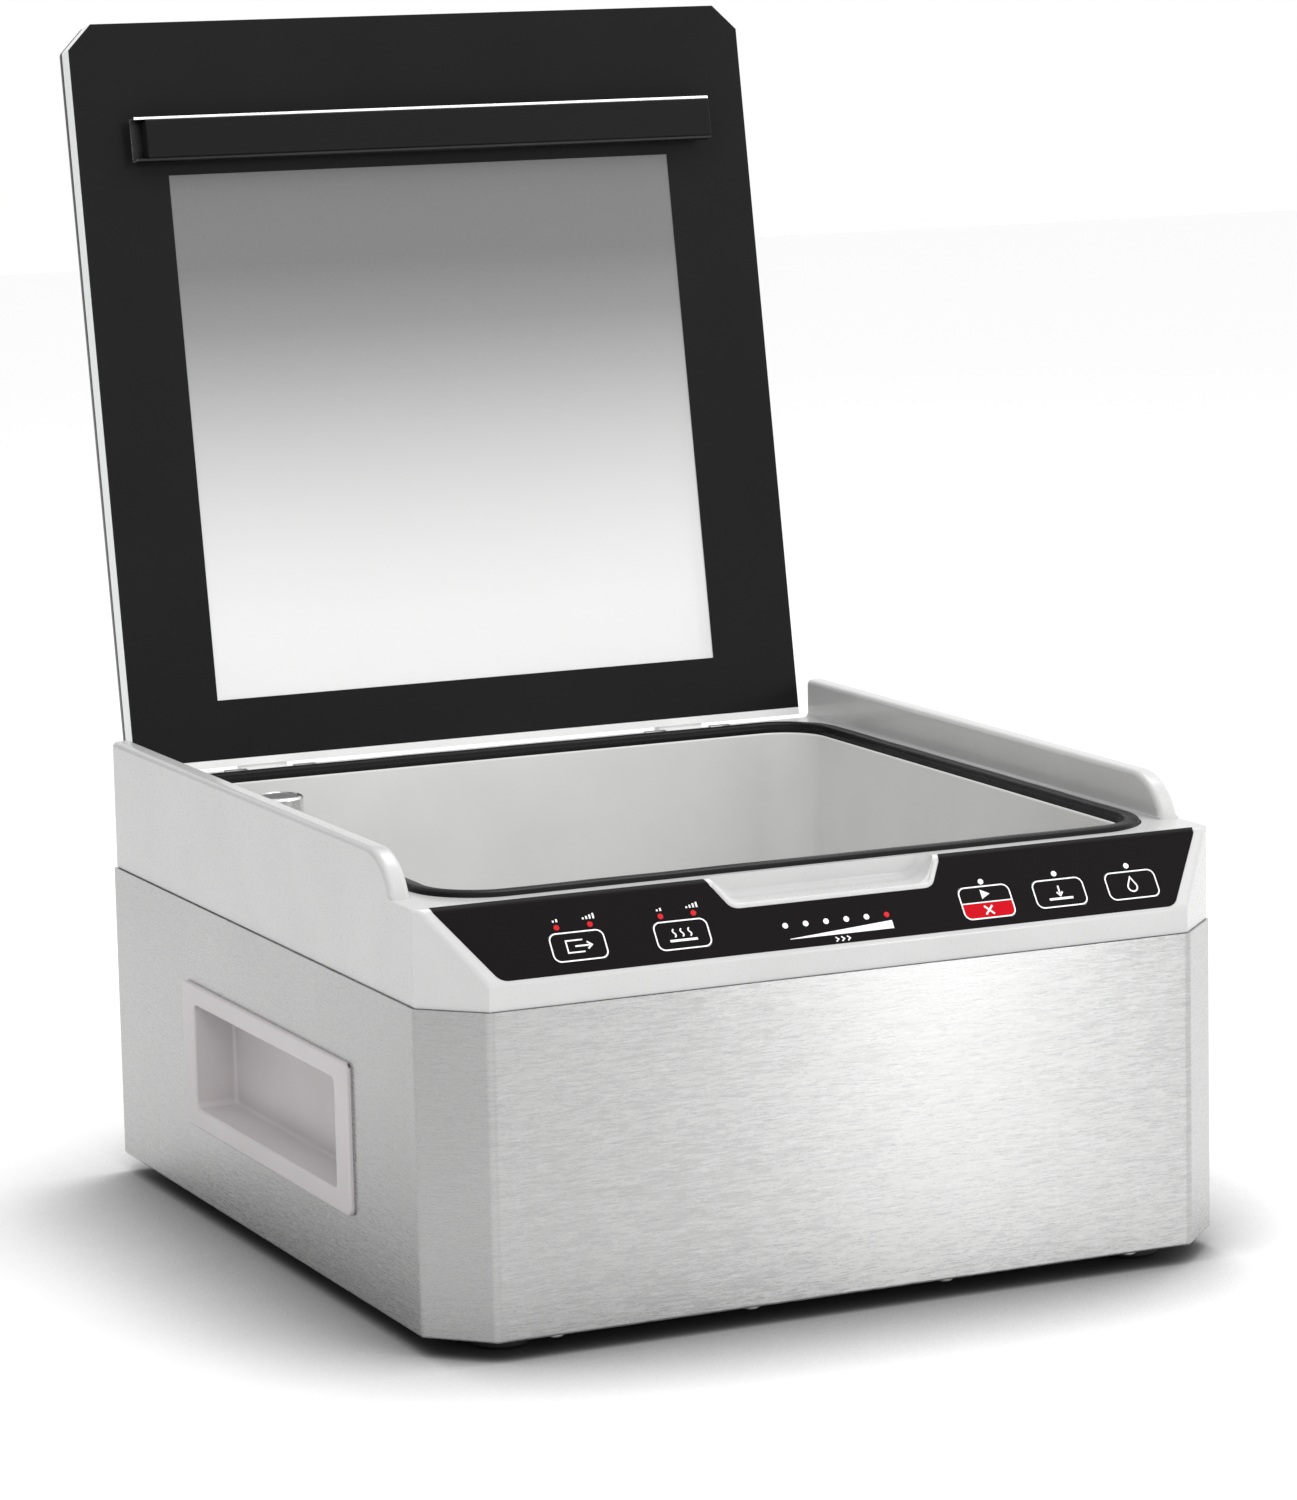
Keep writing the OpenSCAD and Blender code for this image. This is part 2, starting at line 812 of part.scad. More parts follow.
module post_seals() {
    color("black") placed() bar_posts() difference() {
        union() {
            translate([0, 0, floor_z - tub_t]) cylinder(r = post_r + 2.95, h = tub_t + 1);
            translate([0, 0, floor_z]) cylinder(r = post_r + 5, h = 1.6);
        }
        translate([0, 0, floor_z - 10]) cylinder(r = post_r + 0.05, h = 20);
    }
}

module lift_cylinders() {
    top_z = floor_z - tub_t;
    color("whitesmoke") placed() bar_posts() difference() {
        union() {
            translate([0, 0, cylinder_z]) cylinder(r = cylinder_r, h = top_z - cylinder_z);
            translate([0, 0, cylinder_z - nipple_l]) cylinder(r = 3.5, h = nipple_l + 1);
        }
        translate([0, 0, cylinder_z + 3]) cylinder(r = cylinder_bore_r, h = top_z - cylinder_z - 6);
        translate([0, 0, top_z - 5]) cylinder(r = post_r + 0.4, h = 10);
        translate([0, 0, cylinder_z - 9]) cylinder(r = 2, h = 20);
    }
}

// ---- Handles ----

module handle_cup(side) {
    tube_w = handle_w - 2 * handle_rim + 2 * handle_wall;
    tube_h = handle_h - 2 * handle_rim_z + 2 * handle_wall;
    hole_w = handle_w - 2 * handle_rim;
    hole_h = handle_h - 2 * handle_rim_z;
    placed() translate([side * body_w / 2, handle_y, handle_z]) rotate([90, 0, side * 90])
        difference() {
            union() {
                rounded_block(handle_w, handle_h, handle_proud, 4);
                translate([0, 0, -handle_depth]) rounded_block(tube_w, tube_h, handle_depth + 1,
                    handle_r + handle_wall);
            }
            translate([0, 0, handle_wall - handle_depth]) rounded_block(hole_w, hole_h, 40, handle_r);
        }
}

module left_handle_cup() {
    color("whitesmoke") handle_cup(-1);
}

module right_handle_cup() {
    color("whitesmoke") handle_cup(1);
}

// ---- Vacuum pump, valves and hoses ----

module pump_frame() {
    translate([0, pump_y, pump_z]) children();
}

module pump_motor() {
    slot_count = 10;
    color("darkgray") placed() pump_frame() difference() {
        union() {
            x_cylinder(motor_r, motor_l);
            for (a = [20 : 20 : 160])
                rotate([a, 0, 0]) translate([0, motor_r, 0]) cube([motor_l - 12, 5, 2], center = true);
        }
        x_cylinder(rotor_r + 0.5, motor_l + 2);
        for (i = [0 : slot_count - 1])
            rotate([i * 360 / slot_count, 0, 0]) translate([0, rotor_r + 7, 0])
                cube([motor_l + 2, 8, 3], center = true);
    }
}

module pump_rotor() {
    core_l = 70;
    color("goldenrod") placed() pump_frame() {
        x_cylinder(rotor_r, core_l);
        x_cylinder(shaft_r, motor_l + 2 * crank_l - 10);
        for (i = [-1, 1])
            translate([i * crank_x, 0, 0]) {
                x_cylinder(13, 8);
                translate([0, i * 6, 0]) x_cylinder(3, 16);
            }
    }
}

module pump_crankcases() {
    wall = 4;
    color("lightslategray") placed() pump_frame() for (i = [-1, 1])
        translate([i * crank_x, 0, 0]) difference() {
            rotate([90, 0, 90]) translate([0, 0, -crank_l / 2])
                rounded_block(crank_w, crank_w, crank_l, 8);
            rotate([90, 0, 90]) translate([0, 0, -crank_l / 2 + wall])
                rounded_block(crank_w - 2 * wall, crank_w - 2 * wall, crank_l - 2 * wall, 5);
            translate([-i * crank_l / 2, 0, 0]) x_cylinder(shaft_r + shaft_fit, 2 * wall + 2);
        }
}

module pump_heads() {
    fin_count = 5;
    fin_t = 2;
    fin_h = 13;
    color("slategray") placed() pump_frame() for (i = [-1, 1])
        translate([i * crank_x, 0, crank_w / 2]) {
            translate([-crank_l / 2 + 1, -head_w / 2, 0]) cube([crank_l - 2, head_w, 6]);
            for (j = [0 : fin_count - 1])
                translate([-crank_l / 2 + 3, -head_w / 2 + 2 + j * (head_w - 6) / (fin_count - 1), 0])
                    cube([crank_l - 6, fin_t, fin_h]);
            translate([0, -head_w / 2 - head_port_l, head_port_h]) y_cylinder(2.6, head_port_l + 2);
        }
}

module bracket_holes(r, h) {
    for (i = [-1, 1], j = [-1, 1])
        translate([
            i * (bracket_l / 2 - bracket_hole_inset),
            pump_y + j * (bracket_w / 2 - bracket_hole_inset),
            inner_z
        ]) cylinder(r = r, h = h);
}

module pump_bracket() {
    low_z = inner_z + grommet_h;
    saddle_h = pump_z - crank_w / 2 - low_z;
    color("gray") placed() difference() {
        union() {
            translate([0, pump_y, low_z]) rounded_block(bracket_l, bracket_w, bracket_t, 6);
            for (i = [-1, 1])
                translate([i * crank_x - crank_l / 2 + 2, pump_y - 20, low_z])
                    cube([crank_l - 4, 40, saddle_h]);
        }
        bracket_holes(4.1, 30);
    }
}

module pump_grommets() {
    low_z = inner_z + grommet_h;
    color("black") placed() difference() {
        union() {
            bracket_holes(7, grommet_h);
            bracket_holes(4, grommet_h + bracket_t + 0.5);
            translate([0, 0, low_z + bracket_t - inner_z]) bracket_holes(6, 2.5);
        }
        translate([0, 0, -1]) bracket_holes(1.8, 30);
    }
}

module solenoid_valve() {
    block_h = 22;
    rounded_block(26, 26, block_h, 3);
    translate([0, 0, block_h]) rounded_block(22, 20, 26, 2);
    translate([0, 0, block_h + 26]) cylinder(r = 5, h = 5);
    for (a = [0, 180])
        rotate(a) translate([0, 0, valve_port_h]) y_cylinder(3, valve_reach);
}

module vacuum_valve() {
    color("steelblue") placed() translate([valve_x, vacuum_valve_y, inner_z]) solenoid_valve();
}

module vent_valve() {
    color("seagreen") placed() translate([valve_x, vent_valve_y, inner_z]) solenoid_valve();
}

// A hose through a list of corners, with a ball at each bend
module hose(points) {
    for (i = [0 : len(points) - 2]) {
        run = points[i + 1] - points[i];
        translate(points[i]) rotate([0, acos(run[2] / norm(run)), atan2(run[1], run[0])])
            cylinder(r = hose_r, h = norm(run), $fn = 24);
    }
    for (i = [1 : 1 : len(points) - 2])
        translate(points[i]) sphere(r = elbow_r, $fn = 24);
}

module vacuum_hoses() {
    valve_port_z = inner_z + valve_port_h;
    port_low_z = floor_z - tub_t - port_tail;
    nipple_z = cylinder_z - nipple_l;
    pump_port_y = pump_y - head_w / 2 - head_port_l;
    pump_port_z = pump_z + crank_w / 2 + head_port_h;
    cross_y = -130;
    cross_z = valve_port_z + 10;
    vent_y = vent_valve_y + valve_reach + 7;
    color("white") placed() {
        // Chamber port to vacuum valve
        hose([[port_x, port_y, port_low_z], [port_x, port_y, valve_port_z + 12],
            [valve_x, port_y, valve_port_z], [valve_x, vacuum_valve_y + valve_reach, valve_port_z]]);
        // Vacuum valve to the left pump head
        hose([[valve_x, vacuum_valve_y - valve_reach, valve_port_z], [valve_x, 56, valve_port_z],
            [-104, 36, valve_port_z + 30], [-crank_x, 30, pump_port_z],
            [-crank_x, pump_port_y, pump_port_z]]);
        // Vent valve to the left lift cylinder
        hose([[valve_x, vent_valve_y - valve_reach, valve_port_z], [valve_x, bar_y + 4, valve_port_z],
            [-post_x, bar_y, cross_z], [-post_x, bar_y, nipple_z]]);
        // Left lift cylinder across to the right one
        hose([[-post_x + 2, bar_y - 8, cross_z], [-post_x + 10, cross_y, cross_z],
            [post_x, cross_y, cross_z], [post_x, bar_y, nipple_z - 12],
            [post_x, bar_y, nipple_z]]);
        // Open end of the vent valve
        hose([[valve_x, vent_valve_y + valve_reach, valve_port_z], [valve_x, vent_y, valve_port_z],
            [valve_x, vent_y, valve_port_z + 14]]);
    }
}

// ---- Electrics ----

module at_transformer() {
    translate([-55, -60, inner_z + 29]) children();
}

module transformer_core() {
    color("dimgray") placed() at_transformer() {
        difference() {
            cube([66, 28, 56], center = true);
            for (i = [-1, 1])
                translate([i * 16.5, 0, 0]) cube([11, 30, 34], center = true);
        }
        for (i = [-1, 1])
            translate([i * 36, 0, -28]) cube([20, 20, 2], center = true);
    }
}

module transformer_coil() {
    color("saddlebrown") placed() at_transformer() difference() {
        translate([0, 0, -16.5]) rounded_block(42, 48, 33, 5);
        cube([22.6, 28.6, 40], center = true);
    }
}

module board_corners() {
    for (i = [-1, 1], j = [-1, 1])
        translate([board_x + i * 52, board_y + j * 36, 0]) children();
}

module power_board() {
    top_z = power_board_z + board_t;
    color("green") placed() difference() {
        union() {
            translate([board_x, board_y, power_board_z]) rounded_block(114, 82, board_t, 3);
            translate([board_x - 30, board_y, top_z - 0.5]) {
                cylinder(r = 9, h = 26);
                translate([24, 0, 0]) cylinder(r = 9, h = 26);
            }
            for (i = [0 : 2])
                translate([board_x + 14 + i * 14, board_y - 24, top_z - 0.5]) cube([10, 18, 15]);
            translate([board_x + 14, board_y + 8, top_z - 0.5]) cube([34, 3, 30]);
            translate([board_x - 46, board_y - 30, top_z - 0.5]) cube([30, 14, 10]);
        }
        board_corners() translate([0, 0, power_board_z - 1]) cylinder(r = 1.6, h = 5);
    }
}

module board_standoffs() {
    color("gold") placed() board_corners() difference() {
        union() {
            translate([0, 0, inner_z]) cylinder(r = 3.2, h = power_board_z - inner_z);
            translate([0, 0, inner_z]) cylinder(r = 1.5, h = power_board_z - inner_z + 4);
        }
        translate([0, 0, inner_z - 1]) cylinder(r = 0.9, h = 6);
    }
}

module at_fan() {
    translate([fan_x, rear_face_y, fan_z]) children();
}

module fan_frame() {
    bore_r = 28;
    color([0.12, 0.12, 0.12]) placed() at_fan() difference() {
        union() {
            difference() {
                translate([0, -fan_t, 0]) rotate([-90, 0, 0]) rounded_block(fan_w, fan_w, fan_t, 3);
                translate([0, -fan_t - 1, 0]) y_cylinder(bore_r, fan_t + 2);
            }
            translate([0, -fan_t, 0]) y_cylinder(fan_hub_r, 3);
            translate([0, -fan_t, 0]) y_cylinder(2, fan_t - 4);
            for (a = [45 : 90 : 315])
                rotate([0, a, 0]) translate([fan_hub_r - 2, -fan_t, -2]) cube([bore_r - fan_hub_r + 3, 3, 4]);
        }
        translate([0, -8, 0]) fan_fixings(screw_r);
    }
}

module fan_rotor() {
    blade_count = 7;
    low_y = 3.6 - fan_t;
    color([0.16, 0.16, 0.17]) placed() at_fan() difference() {
        union() {
            translate([0, low_y, 0]) y_cylinder(fan_hub_r, fan_t - 5);
            intersection() {
                translate([0, low_y, 0]) y_cylinder(blade_r, fan_t - 5);
                for (i = [0 : blade_count - 1])
                    rotate([0, i * 360 / blade_count, 0]) translate([18, low_y + 7.5, 0])
                        rotate([38, 0, 0]) cube([20, 1.6, 16], center = true);
            }
        }
        translate([0, low_y - 1, 0]) y_cylinder(2 + shaft_fit, fan_t - 6.5);
    }
}

module inlet_mouth_2d(w, h, cut) {
    polygon([
        [-w / 2, -h / 2], [w / 2, -h / 2], [w / 2, h / 2 - cut], [w / 2 - cut, h / 2],
        [-w / 2 + cut, h / 2], [-w / 2, h / 2 - cut]
    ]);
}

// Three-pin appliance inlet, mouth facing back
module power_inlet() {
    depth = 22;
    plate_w = 50;
    color([0.08, 0.08, 0.08]) placed() translate([inlet_x, body_d / 2, inlet_z]) rotate([90, 0, 180]) {
        difference() {
            union() {
                rounded_block(plate_w, inlet_h + 5, inlet_plate_t, 5);
                translate([0, 0, -depth]) rounded_block(inlet_w, inlet_h, depth + 1, 2.5);
            }
            translate([0, 0, 3 - depth]) linear_extrude(40) inlet_mouth_2d(24.2, 16.6, 4);
            for (i = [-1, 1])
                translate([i * inlet_screw, 0, -1]) cylinder(r = panel_screw_r + 0.2, h = 5);
        }
        for (pin = [[-7, -2], [0, 2], [7, -2]])
            translate([pin[0] - 1, pin[1] - 2, 2 - depth]) cube([2, 4, depth - 5]);
    }
}

module switch_housing() {
    depth = 18;
    color([0.08, 0.08, 0.08]) placed() translate([rocker_x, body_d / 2, inlet_z]) rotate([90, 0, 180])
        difference() {
            union() {
                rounded_block(rocker_w + 3, rocker_h + 3, 2, 2);
                translate([0, 0, -depth]) rounded_block(rocker_w, rocker_h, depth + 1, 1);
            }
            translate([0, 0, -10]) rounded_block(rocker_cavity_w, rocker_cavity_h, 20, 0.6);
            translate([0, 0, -rocker_pivot]) x_cylinder(1.05, rocker_w - 1);
        }
}

// Rocker drawn about its pivot with its crest pointing back, tipped to its off side
module switch_rocker() {
    color([0.7, 0.08, 0.08]) placed()
        translate([rocker_x, body_d / 2 - rocker_pivot, inlet_z]) rotate([rocker_swing / 2, 0, 0]) {
            x_extrude(rocker_cavity_w - 0.7)
                polygon([[-3, -3], [5.2, -6.9], [6.9, -6.6], [5.6, 0], [6.9, 6.6], [5.2, 6.9], [-3, 3]]);
            x_cylinder(1, rocker_w - 1.6);
        }
}

module lid_sensor() {
    color("black") placed() translate([sensor_x, 181.5, deck_z - wall_t - 8.4]) {
        cube([18, 6, 8], center = true);
        translate([0, 0, 4]) cube([22, 4, 8], center = true);
    }
}

// ---- Hinge and lid ----

module hinge_places() {
    for (i = [-1, 1])
        translate([i * hinge_x, 0, 0]) children();
}

module hinge_brackets() {
    leaf_t = 1;
    ear_w = (hinge_w - knuckle_w) / 2 - 0.4;
    color("dimgray") placed() hinge_places() difference() {
        union() {
            translate([-hinge_w / 2, hinge_pocket_y, hinge_pocket_z])
                cube([hinge_w, rear_y - hinge_pocket_y, leaf_t]);
            for (i = [-1, 1])
                translate([i * (hinge_w - ear_w) / 2, hinge_y, hinge_z]) {
                    x_cylinder(knuckle_r, ear_w);
                    translate([-ear_w / 2, hinge_pocket_y - hinge_y, hinge_pocket_z - hinge_z])
                        cube([ear_w, knuckle_r + 3, hinge_z - hinge_pocket_z]);
                }
        }
        translate([0, hinge_y, hinge_z]) x_cylinder(pin_r, hinge_w + 2);
    }
}

module hinge_pins() {
    color("silver") placed() hinge_places() translate([0, hinge_y, hinge_z])
        x_cylinder(pin_r, hinge_w);
}

module lid_plan() {
    w = lid_w / 2;
    polygon([
        [-w, lid_rear_y], [w, lid_rear_y], [w, lid_front_y + lid_cut], [w - lid_cut, lid_front_y],
        [-w + lid_cut, lid_front_y], [-w, lid_front_y + lid_cut]
    ]);
}

module window_2d() {
    translate([-window_w / 2, lid_front_y + window_front_gap]) square([window_w, window_l]);
}

module lid_plate() {
    color("whitesmoke", 0.6) placed() on_open_lid() translate([0, 0, lid_z + mask_t])
        linear_extrude(plate_t) lid_plan();
}

module lid_mask() {
    color([0.12, 0.12, 0.12]) placed() on_open_lid() translate([0, 0, lid_z])
        linear_extrude(mask_t) difference() {
            lid_plan();
            window_2d();
        }
}

module lid_outer_cover() {
    color([0.3, 0.3, 0.31]) placed() on_open_lid() translate([0, 0, lid_z + mask_t + plate_t])
        linear_extrude(cover_t) difference() {
            lid_plan();
            window_2d();
        }
}

module lid_hinge_rail() {
    arm_t = 3.4;
    arm_top = lid_z + 7;
    moving_r = 3;
    color("white") placed() on_open_lid() difference() {
        union() {
            translate([-lid_w / 2, lid_rear_y, lid_z]) cube([lid_w, hinge_rail_t, lid_t]);
            hinge_places() {
                translate([-knuckle_w / 2, hinge_y - arm_t / 2, hinge_z])
                    cube([knuckle_w, arm_t, arm_top - hinge_z]);
                translate([-knuckle_w / 2, lid_rear_y + hinge_rail_t - eps, lid_z + 1])
                    cube([knuckle_w, hinge_y + arm_t / 2 - lid_rear_y - hinge_rail_t, arm_top - lid_z - 1]);
                translate([0, hinge_y, hinge_z]) x_cylinder(moving_r, knuckle_w);
            }
        }
        hinge_places() translate([0, hinge_y, hinge_z]) x_cylinder(pin_r + pin_fit, knuckle_w + 2);
        magnet_place() y_cylinder(magnet_r + 0.05, magnet_t + 0.1);
    }
}

module magnet_place() {
    translate([sensor_x, lid_rear_y, lid_z + 5]) children();
}

module lid_magnet() {
    color("silver") placed() on_open_lid() magnet_place() y_cylinder(magnet_r, magnet_t);
}

module counter_bar_channel() {
    web_z = lid_z - counter_standoff;
    flange_drop = counter_drop - counter_standoff - 1;
    color([0.55, 0.55, 0.56]) placed() on_open_lid() {
        translate([-bar_l / 2, bar_y - counter_w / 2, web_z - channel_t])
            cube([bar_l, counter_w, channel_t]);
        for (j = [0, 1])
            translate([-bar_l / 2, bar_y - counter_w / 2 + j * (counter_w - channel_t),
                web_z - flange_drop]) cube([bar_l, channel_t, flange_drop]);
        for (i = [-1 : 1])
            translate([i * 110 - 10, bar_y - 5, web_z - eps]) cube([20, 10, counter_standoff + eps]);
    }
}

module counter_bar_pad() {
    web_z = lid_z - counter_standoff - channel_t;
    color([0.1, 0.1, 0.1]) placed() on_open_lid()
        translate([-bar_l / 2 + 5, bar_y - counter_w / 2 + channel_t, lid_z - counter_drop])
            cube([bar_l - 5, counter_w - 2 * channel_t, web_z - lid_z + counter_drop]);
}

base_plate();
body_shell();
rear_panel();
top_housing();
chamber_tub();
chamber_gasket();
left_handle_cup();
right_handle_cup();
control_overlay();
control_board();
key_switches();
red_indicator_lenses();
white_indicator_lenses();
lift_cylinders();
post_seals();
port_standpipe();
port_cap();
port_o_ring();
pump_motor();
pump_crankcases();
pump_heads();
pump_bracket();
pump_grommets();
vacuum_valve();
vent_valve();
vacuum_hoses();
transformer_core();
transformer_coil();
power_board();
board_standoffs();
fan_frame();
power_inlet();
switch_housing();
feet();
foot_screws();
base_screws();
rear_screws();
hinge_brackets();
hinge_pins();
lid_sensor();
key_vacuum();
key_sealing();
key_auto_cancel();
key_seal();
key_marinate();
seal_bar();
seal_element();
seal_tape();
lift_posts();
pump_rotor();
fan_rotor();
switch_rocker();
lid_plate();
lid_mask();
lid_outer_cover();
lid_hinge_rail();
counter_bar_channel();
counter_bar_pad();
lid_magnet();
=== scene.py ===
import json
import math

import bmesh
import bpy
import numpy as np
from mathutils import Matrix, Vector


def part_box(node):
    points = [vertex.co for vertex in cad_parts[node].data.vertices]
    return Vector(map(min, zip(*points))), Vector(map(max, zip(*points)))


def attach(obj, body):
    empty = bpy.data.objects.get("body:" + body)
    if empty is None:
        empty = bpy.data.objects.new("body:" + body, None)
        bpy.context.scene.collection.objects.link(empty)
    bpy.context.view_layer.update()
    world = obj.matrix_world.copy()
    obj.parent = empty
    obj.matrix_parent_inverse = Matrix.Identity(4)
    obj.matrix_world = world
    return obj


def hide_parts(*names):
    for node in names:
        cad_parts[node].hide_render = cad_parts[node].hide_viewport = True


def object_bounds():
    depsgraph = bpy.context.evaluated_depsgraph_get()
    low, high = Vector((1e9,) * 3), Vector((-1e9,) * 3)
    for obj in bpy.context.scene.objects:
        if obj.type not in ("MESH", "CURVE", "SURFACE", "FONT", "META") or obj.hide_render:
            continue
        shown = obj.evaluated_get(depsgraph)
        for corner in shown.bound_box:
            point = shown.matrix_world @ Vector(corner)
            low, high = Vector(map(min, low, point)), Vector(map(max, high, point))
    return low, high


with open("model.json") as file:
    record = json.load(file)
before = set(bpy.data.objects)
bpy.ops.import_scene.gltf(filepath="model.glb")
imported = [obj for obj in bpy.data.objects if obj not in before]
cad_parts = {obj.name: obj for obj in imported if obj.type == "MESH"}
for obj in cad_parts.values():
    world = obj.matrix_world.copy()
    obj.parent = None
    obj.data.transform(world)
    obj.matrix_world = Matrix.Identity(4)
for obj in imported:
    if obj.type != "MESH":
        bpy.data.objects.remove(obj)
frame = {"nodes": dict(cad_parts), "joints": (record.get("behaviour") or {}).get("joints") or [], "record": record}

CAD_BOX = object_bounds()
MM = 0.001
scene = bpy.context.scene
collection = scene.collection

# ---- Where things are, in millimetres until P() turns them into metres ----

X, Y, Z = 0, 1, 2


def box_mm(node):
    """Low and high corners of a CAD node's box, in millimetres."""
    return [[c / MM for c in corner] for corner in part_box(node)]


shell_low, shell_high = box_mm("body_shell")
top_low, top_high = box_mm("top_housing")
BODY_Y = (shell_low[Y] + shell_high[Y]) / 2
HALF_W = shell_high[X]
HALF_D = (shell_high[Y] - shell_low[Y]) / 2
SHELL_LOW_Z = shell_low[Z]
SHELL_CUT = 23
SIDE_X = top_high[X]
RAIL_Z = top_high[Z]
HOUSING_Z = top_low[Z]
FRONT_Y = top_low[Y] - BODY_Y
REAR_Y = top_high[Y] - BODY_Y
BULB_H = 2.5
DECK_Z = box_mm("chamber_gasket")[1][Z] - BULB_H
BAND_Z = HOUSING_Z + 10.9
CORNER_CUT = 22.4
CORNER_CUT_SHRINK = 0.586
SLOPE_RUN = 20.5
RAIL_T = 9
WALL = 3
CHAMBER_Y = 8
BROW_R = 6.0

joints = {j["name"]: j for j in frame["joints"]}
NORMAL = -Vector(joints["vacuum_key_press"]["axis"]).normalized()
ACROSS = Vector((1, 0, 0))
UP_SLOPE = NORMAL.cross(ACROSS).normalized()
SLOPE_L = math.hypot(SLOPE_RUN, DECK_Z - BAND_Z)
SLOPE_TURN = math.asin(UP_SLOPE.z)


def P(x, y, z):
    """A point in the frame from millimetres, with y from the middle of the body."""
    return Vector((x * MM, (BODY_Y + y) * MM, z * MM))


def S(x, s, n=0.0):
    """A point on the sloped face: x across, s up the slope, n outward, in millimetres."""
    return P(0, FRONT_Y, BAND_Z) + (ACROSS * x + UP_SLOPE * s + NORMAL * n) * MM


def slope_of(p):
    """x, s and n of a point, in millimetres."""
    d = (Vector(p) - P(0, FRONT_Y, BAND_Z)) / MM
    return d.dot(ACROSS), d.dot(UP_SLOPE), d.dot(NORMAL)


# Closed-lid axes on the open lid: across, from the hinge edge to the front edge, and out of its inner face
lid_joint = joints["lid_hinge"]
OPEN = math.radians(lid_joint["range_deg"][1])
HINGE = Vector(lid_joint["pos_m"])
lid_turn = Matrix.Translation(HINGE) @ Matrix.Rotation(-OPEN, 4, "X") @ Matrix.Translation(-HINGE)
LID_Z = DECK_Z + 3
LID_REAR_Y = 177.8
LID_L = 337
LID_HALF_W = box_mm("lid_plate")[1][X]
LID_CUT = 11.5
WINDOW_X = 125
WINDOW_LOW_S, WINDOW_HIGH_S = 27, 267


def L(x, s, h):
    """A point on the open lid: x across, s from the hinge edge, h out of the inner face, in millimetres."""
    return lid_turn @ P(x, LID_REAR_Y - s, LID_Z - h)


# ---- Mesh tools ----


def outward(bm):
    """Turns every face of a closed mesh to look out."""
    bmesh.ops.recalc_face_normals(bm, faces=bm.faces)
    return bm


def finish_mesh(bm, name, sharp):
    """A smooth-shaded mesh that stays crisp where faces meet at more than sharp degrees."""
    bmesh.ops.remove_doubles(bm, verts=bm.verts, dist=2e-6)
    outward(bm)
    for f in bm.faces:
        f.smooth = True
    mesh = bpy.data.meshes.new(name)
    bm.to_mesh(mesh)
    bm.free()
    mesh.set_sharp_from_angle(angle=math.radians(sharp))
    return mesh


def place(name, shape, slot, sharp=32, body="housing", nodes=(), looks=None):
    """Adds a piece that rides on body and stands for nodes. Its looks are its slot's, unless given."""
    mesh = shape if isinstance(shape, bpy.types.Mesh) else finish_mesh(shape, name, sharp)
    obj = bpy.data.objects.new(name, mesh)
    collection.objects.link(obj)
    for look in looks or [slot]:
        mesh.materials.append(materials[look])
    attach(obj, body)
    if nodes:
        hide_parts(*nodes)
    w = obj.modifiers.new("weighted", "WEIGHTED_NORMAL")
    w.keep_sharp = True
    w.weight = 60


def prism(points, offset):
    """A closed solid from a flat outline swept along offset."""
    bm = bmesh.new()
    a = [bm.verts.new(p) for p in points]
    b = [bm.verts.new(Vector(p) + Vector(offset)) for p in points]
    bm.faces.new(a[::-1])
    bm.faces.new(b)
    for i in range(len(a)):
        j = (i + 1) % len(a)
        bm.faces.new((a[i], a[j], b[j], b[i]))
    return outward(bm)


QUARTERS = [(1, -1), (1, 1), (-1, 1), (-1, -1)]


def rounded_loop(w, d, r, n, cy=0.0):
    """Corners of a rounded rectangle, anticlockwise, with n steps to each corner."""
    out = []
    for k, (i, j) in enumerate(QUARTERS):
        for m in range(n + 1):
            a = math.radians(-90 + 90 * k + 90 * m / n)
            out.append((i * (w / 2 - r) + r * math.cos(a), cy + j * (d / 2 - r) + r * math.sin(a)))
    return out


def arc_points(cx, cy, r, a0, a1, n):
    """n steps along an arc from a0 to a1 degrees."""
    turns = [math.radians(a0 + (a1 - a0) * k / n) for k in range(n + 1)]
    return [(cx + r * math.cos(a), cy + r * math.sin(a)) for a in turns]


def skin(bm, loops, closed=True, cap_first=False, cap_last=False, ring=False):
    """Joins loops of points with quads. ring joins the last loop back to the first."""
    rows = [[bm.verts.new(p) for p in loop] for loop in loops]
    n = len(rows[0])
    pairs = list(zip(rows, rows[1:])) + ([(rows[-1], rows[0])] if ring else [])
    for a, b in pairs:
        for i in range(n if closed else n - 1):
            j = (i + 1) % n
            bm.faces.new((a[i], a[j], b[j], b[i]))
    if cap_first:
        bm.faces.new(rows[0][::-1])
    if cap_last:
        bm.faces.new(rows[-1])
    return rows


def lathe(bm, profile, centre, axis, segments):
    """Turns (radius, height) pairs, in millimetres, about an axis through centre."""
    axis = Vector(axis).normalized()
    side = axis.orthogonal().normalized()
    other = axis.cross(side)
    turns = [2 * math.pi * i / segments for i in range(segments)]
    loops = [
        [centre + (axis * h + (side * math.cos(a) + other * math.sin(a)) * max(r, 1e-4)) * MM for a in turns]
        for r, h in profile
    ]
    skin(bm, loops, cap_first=True, cap_last=True)
    return outward(bm)


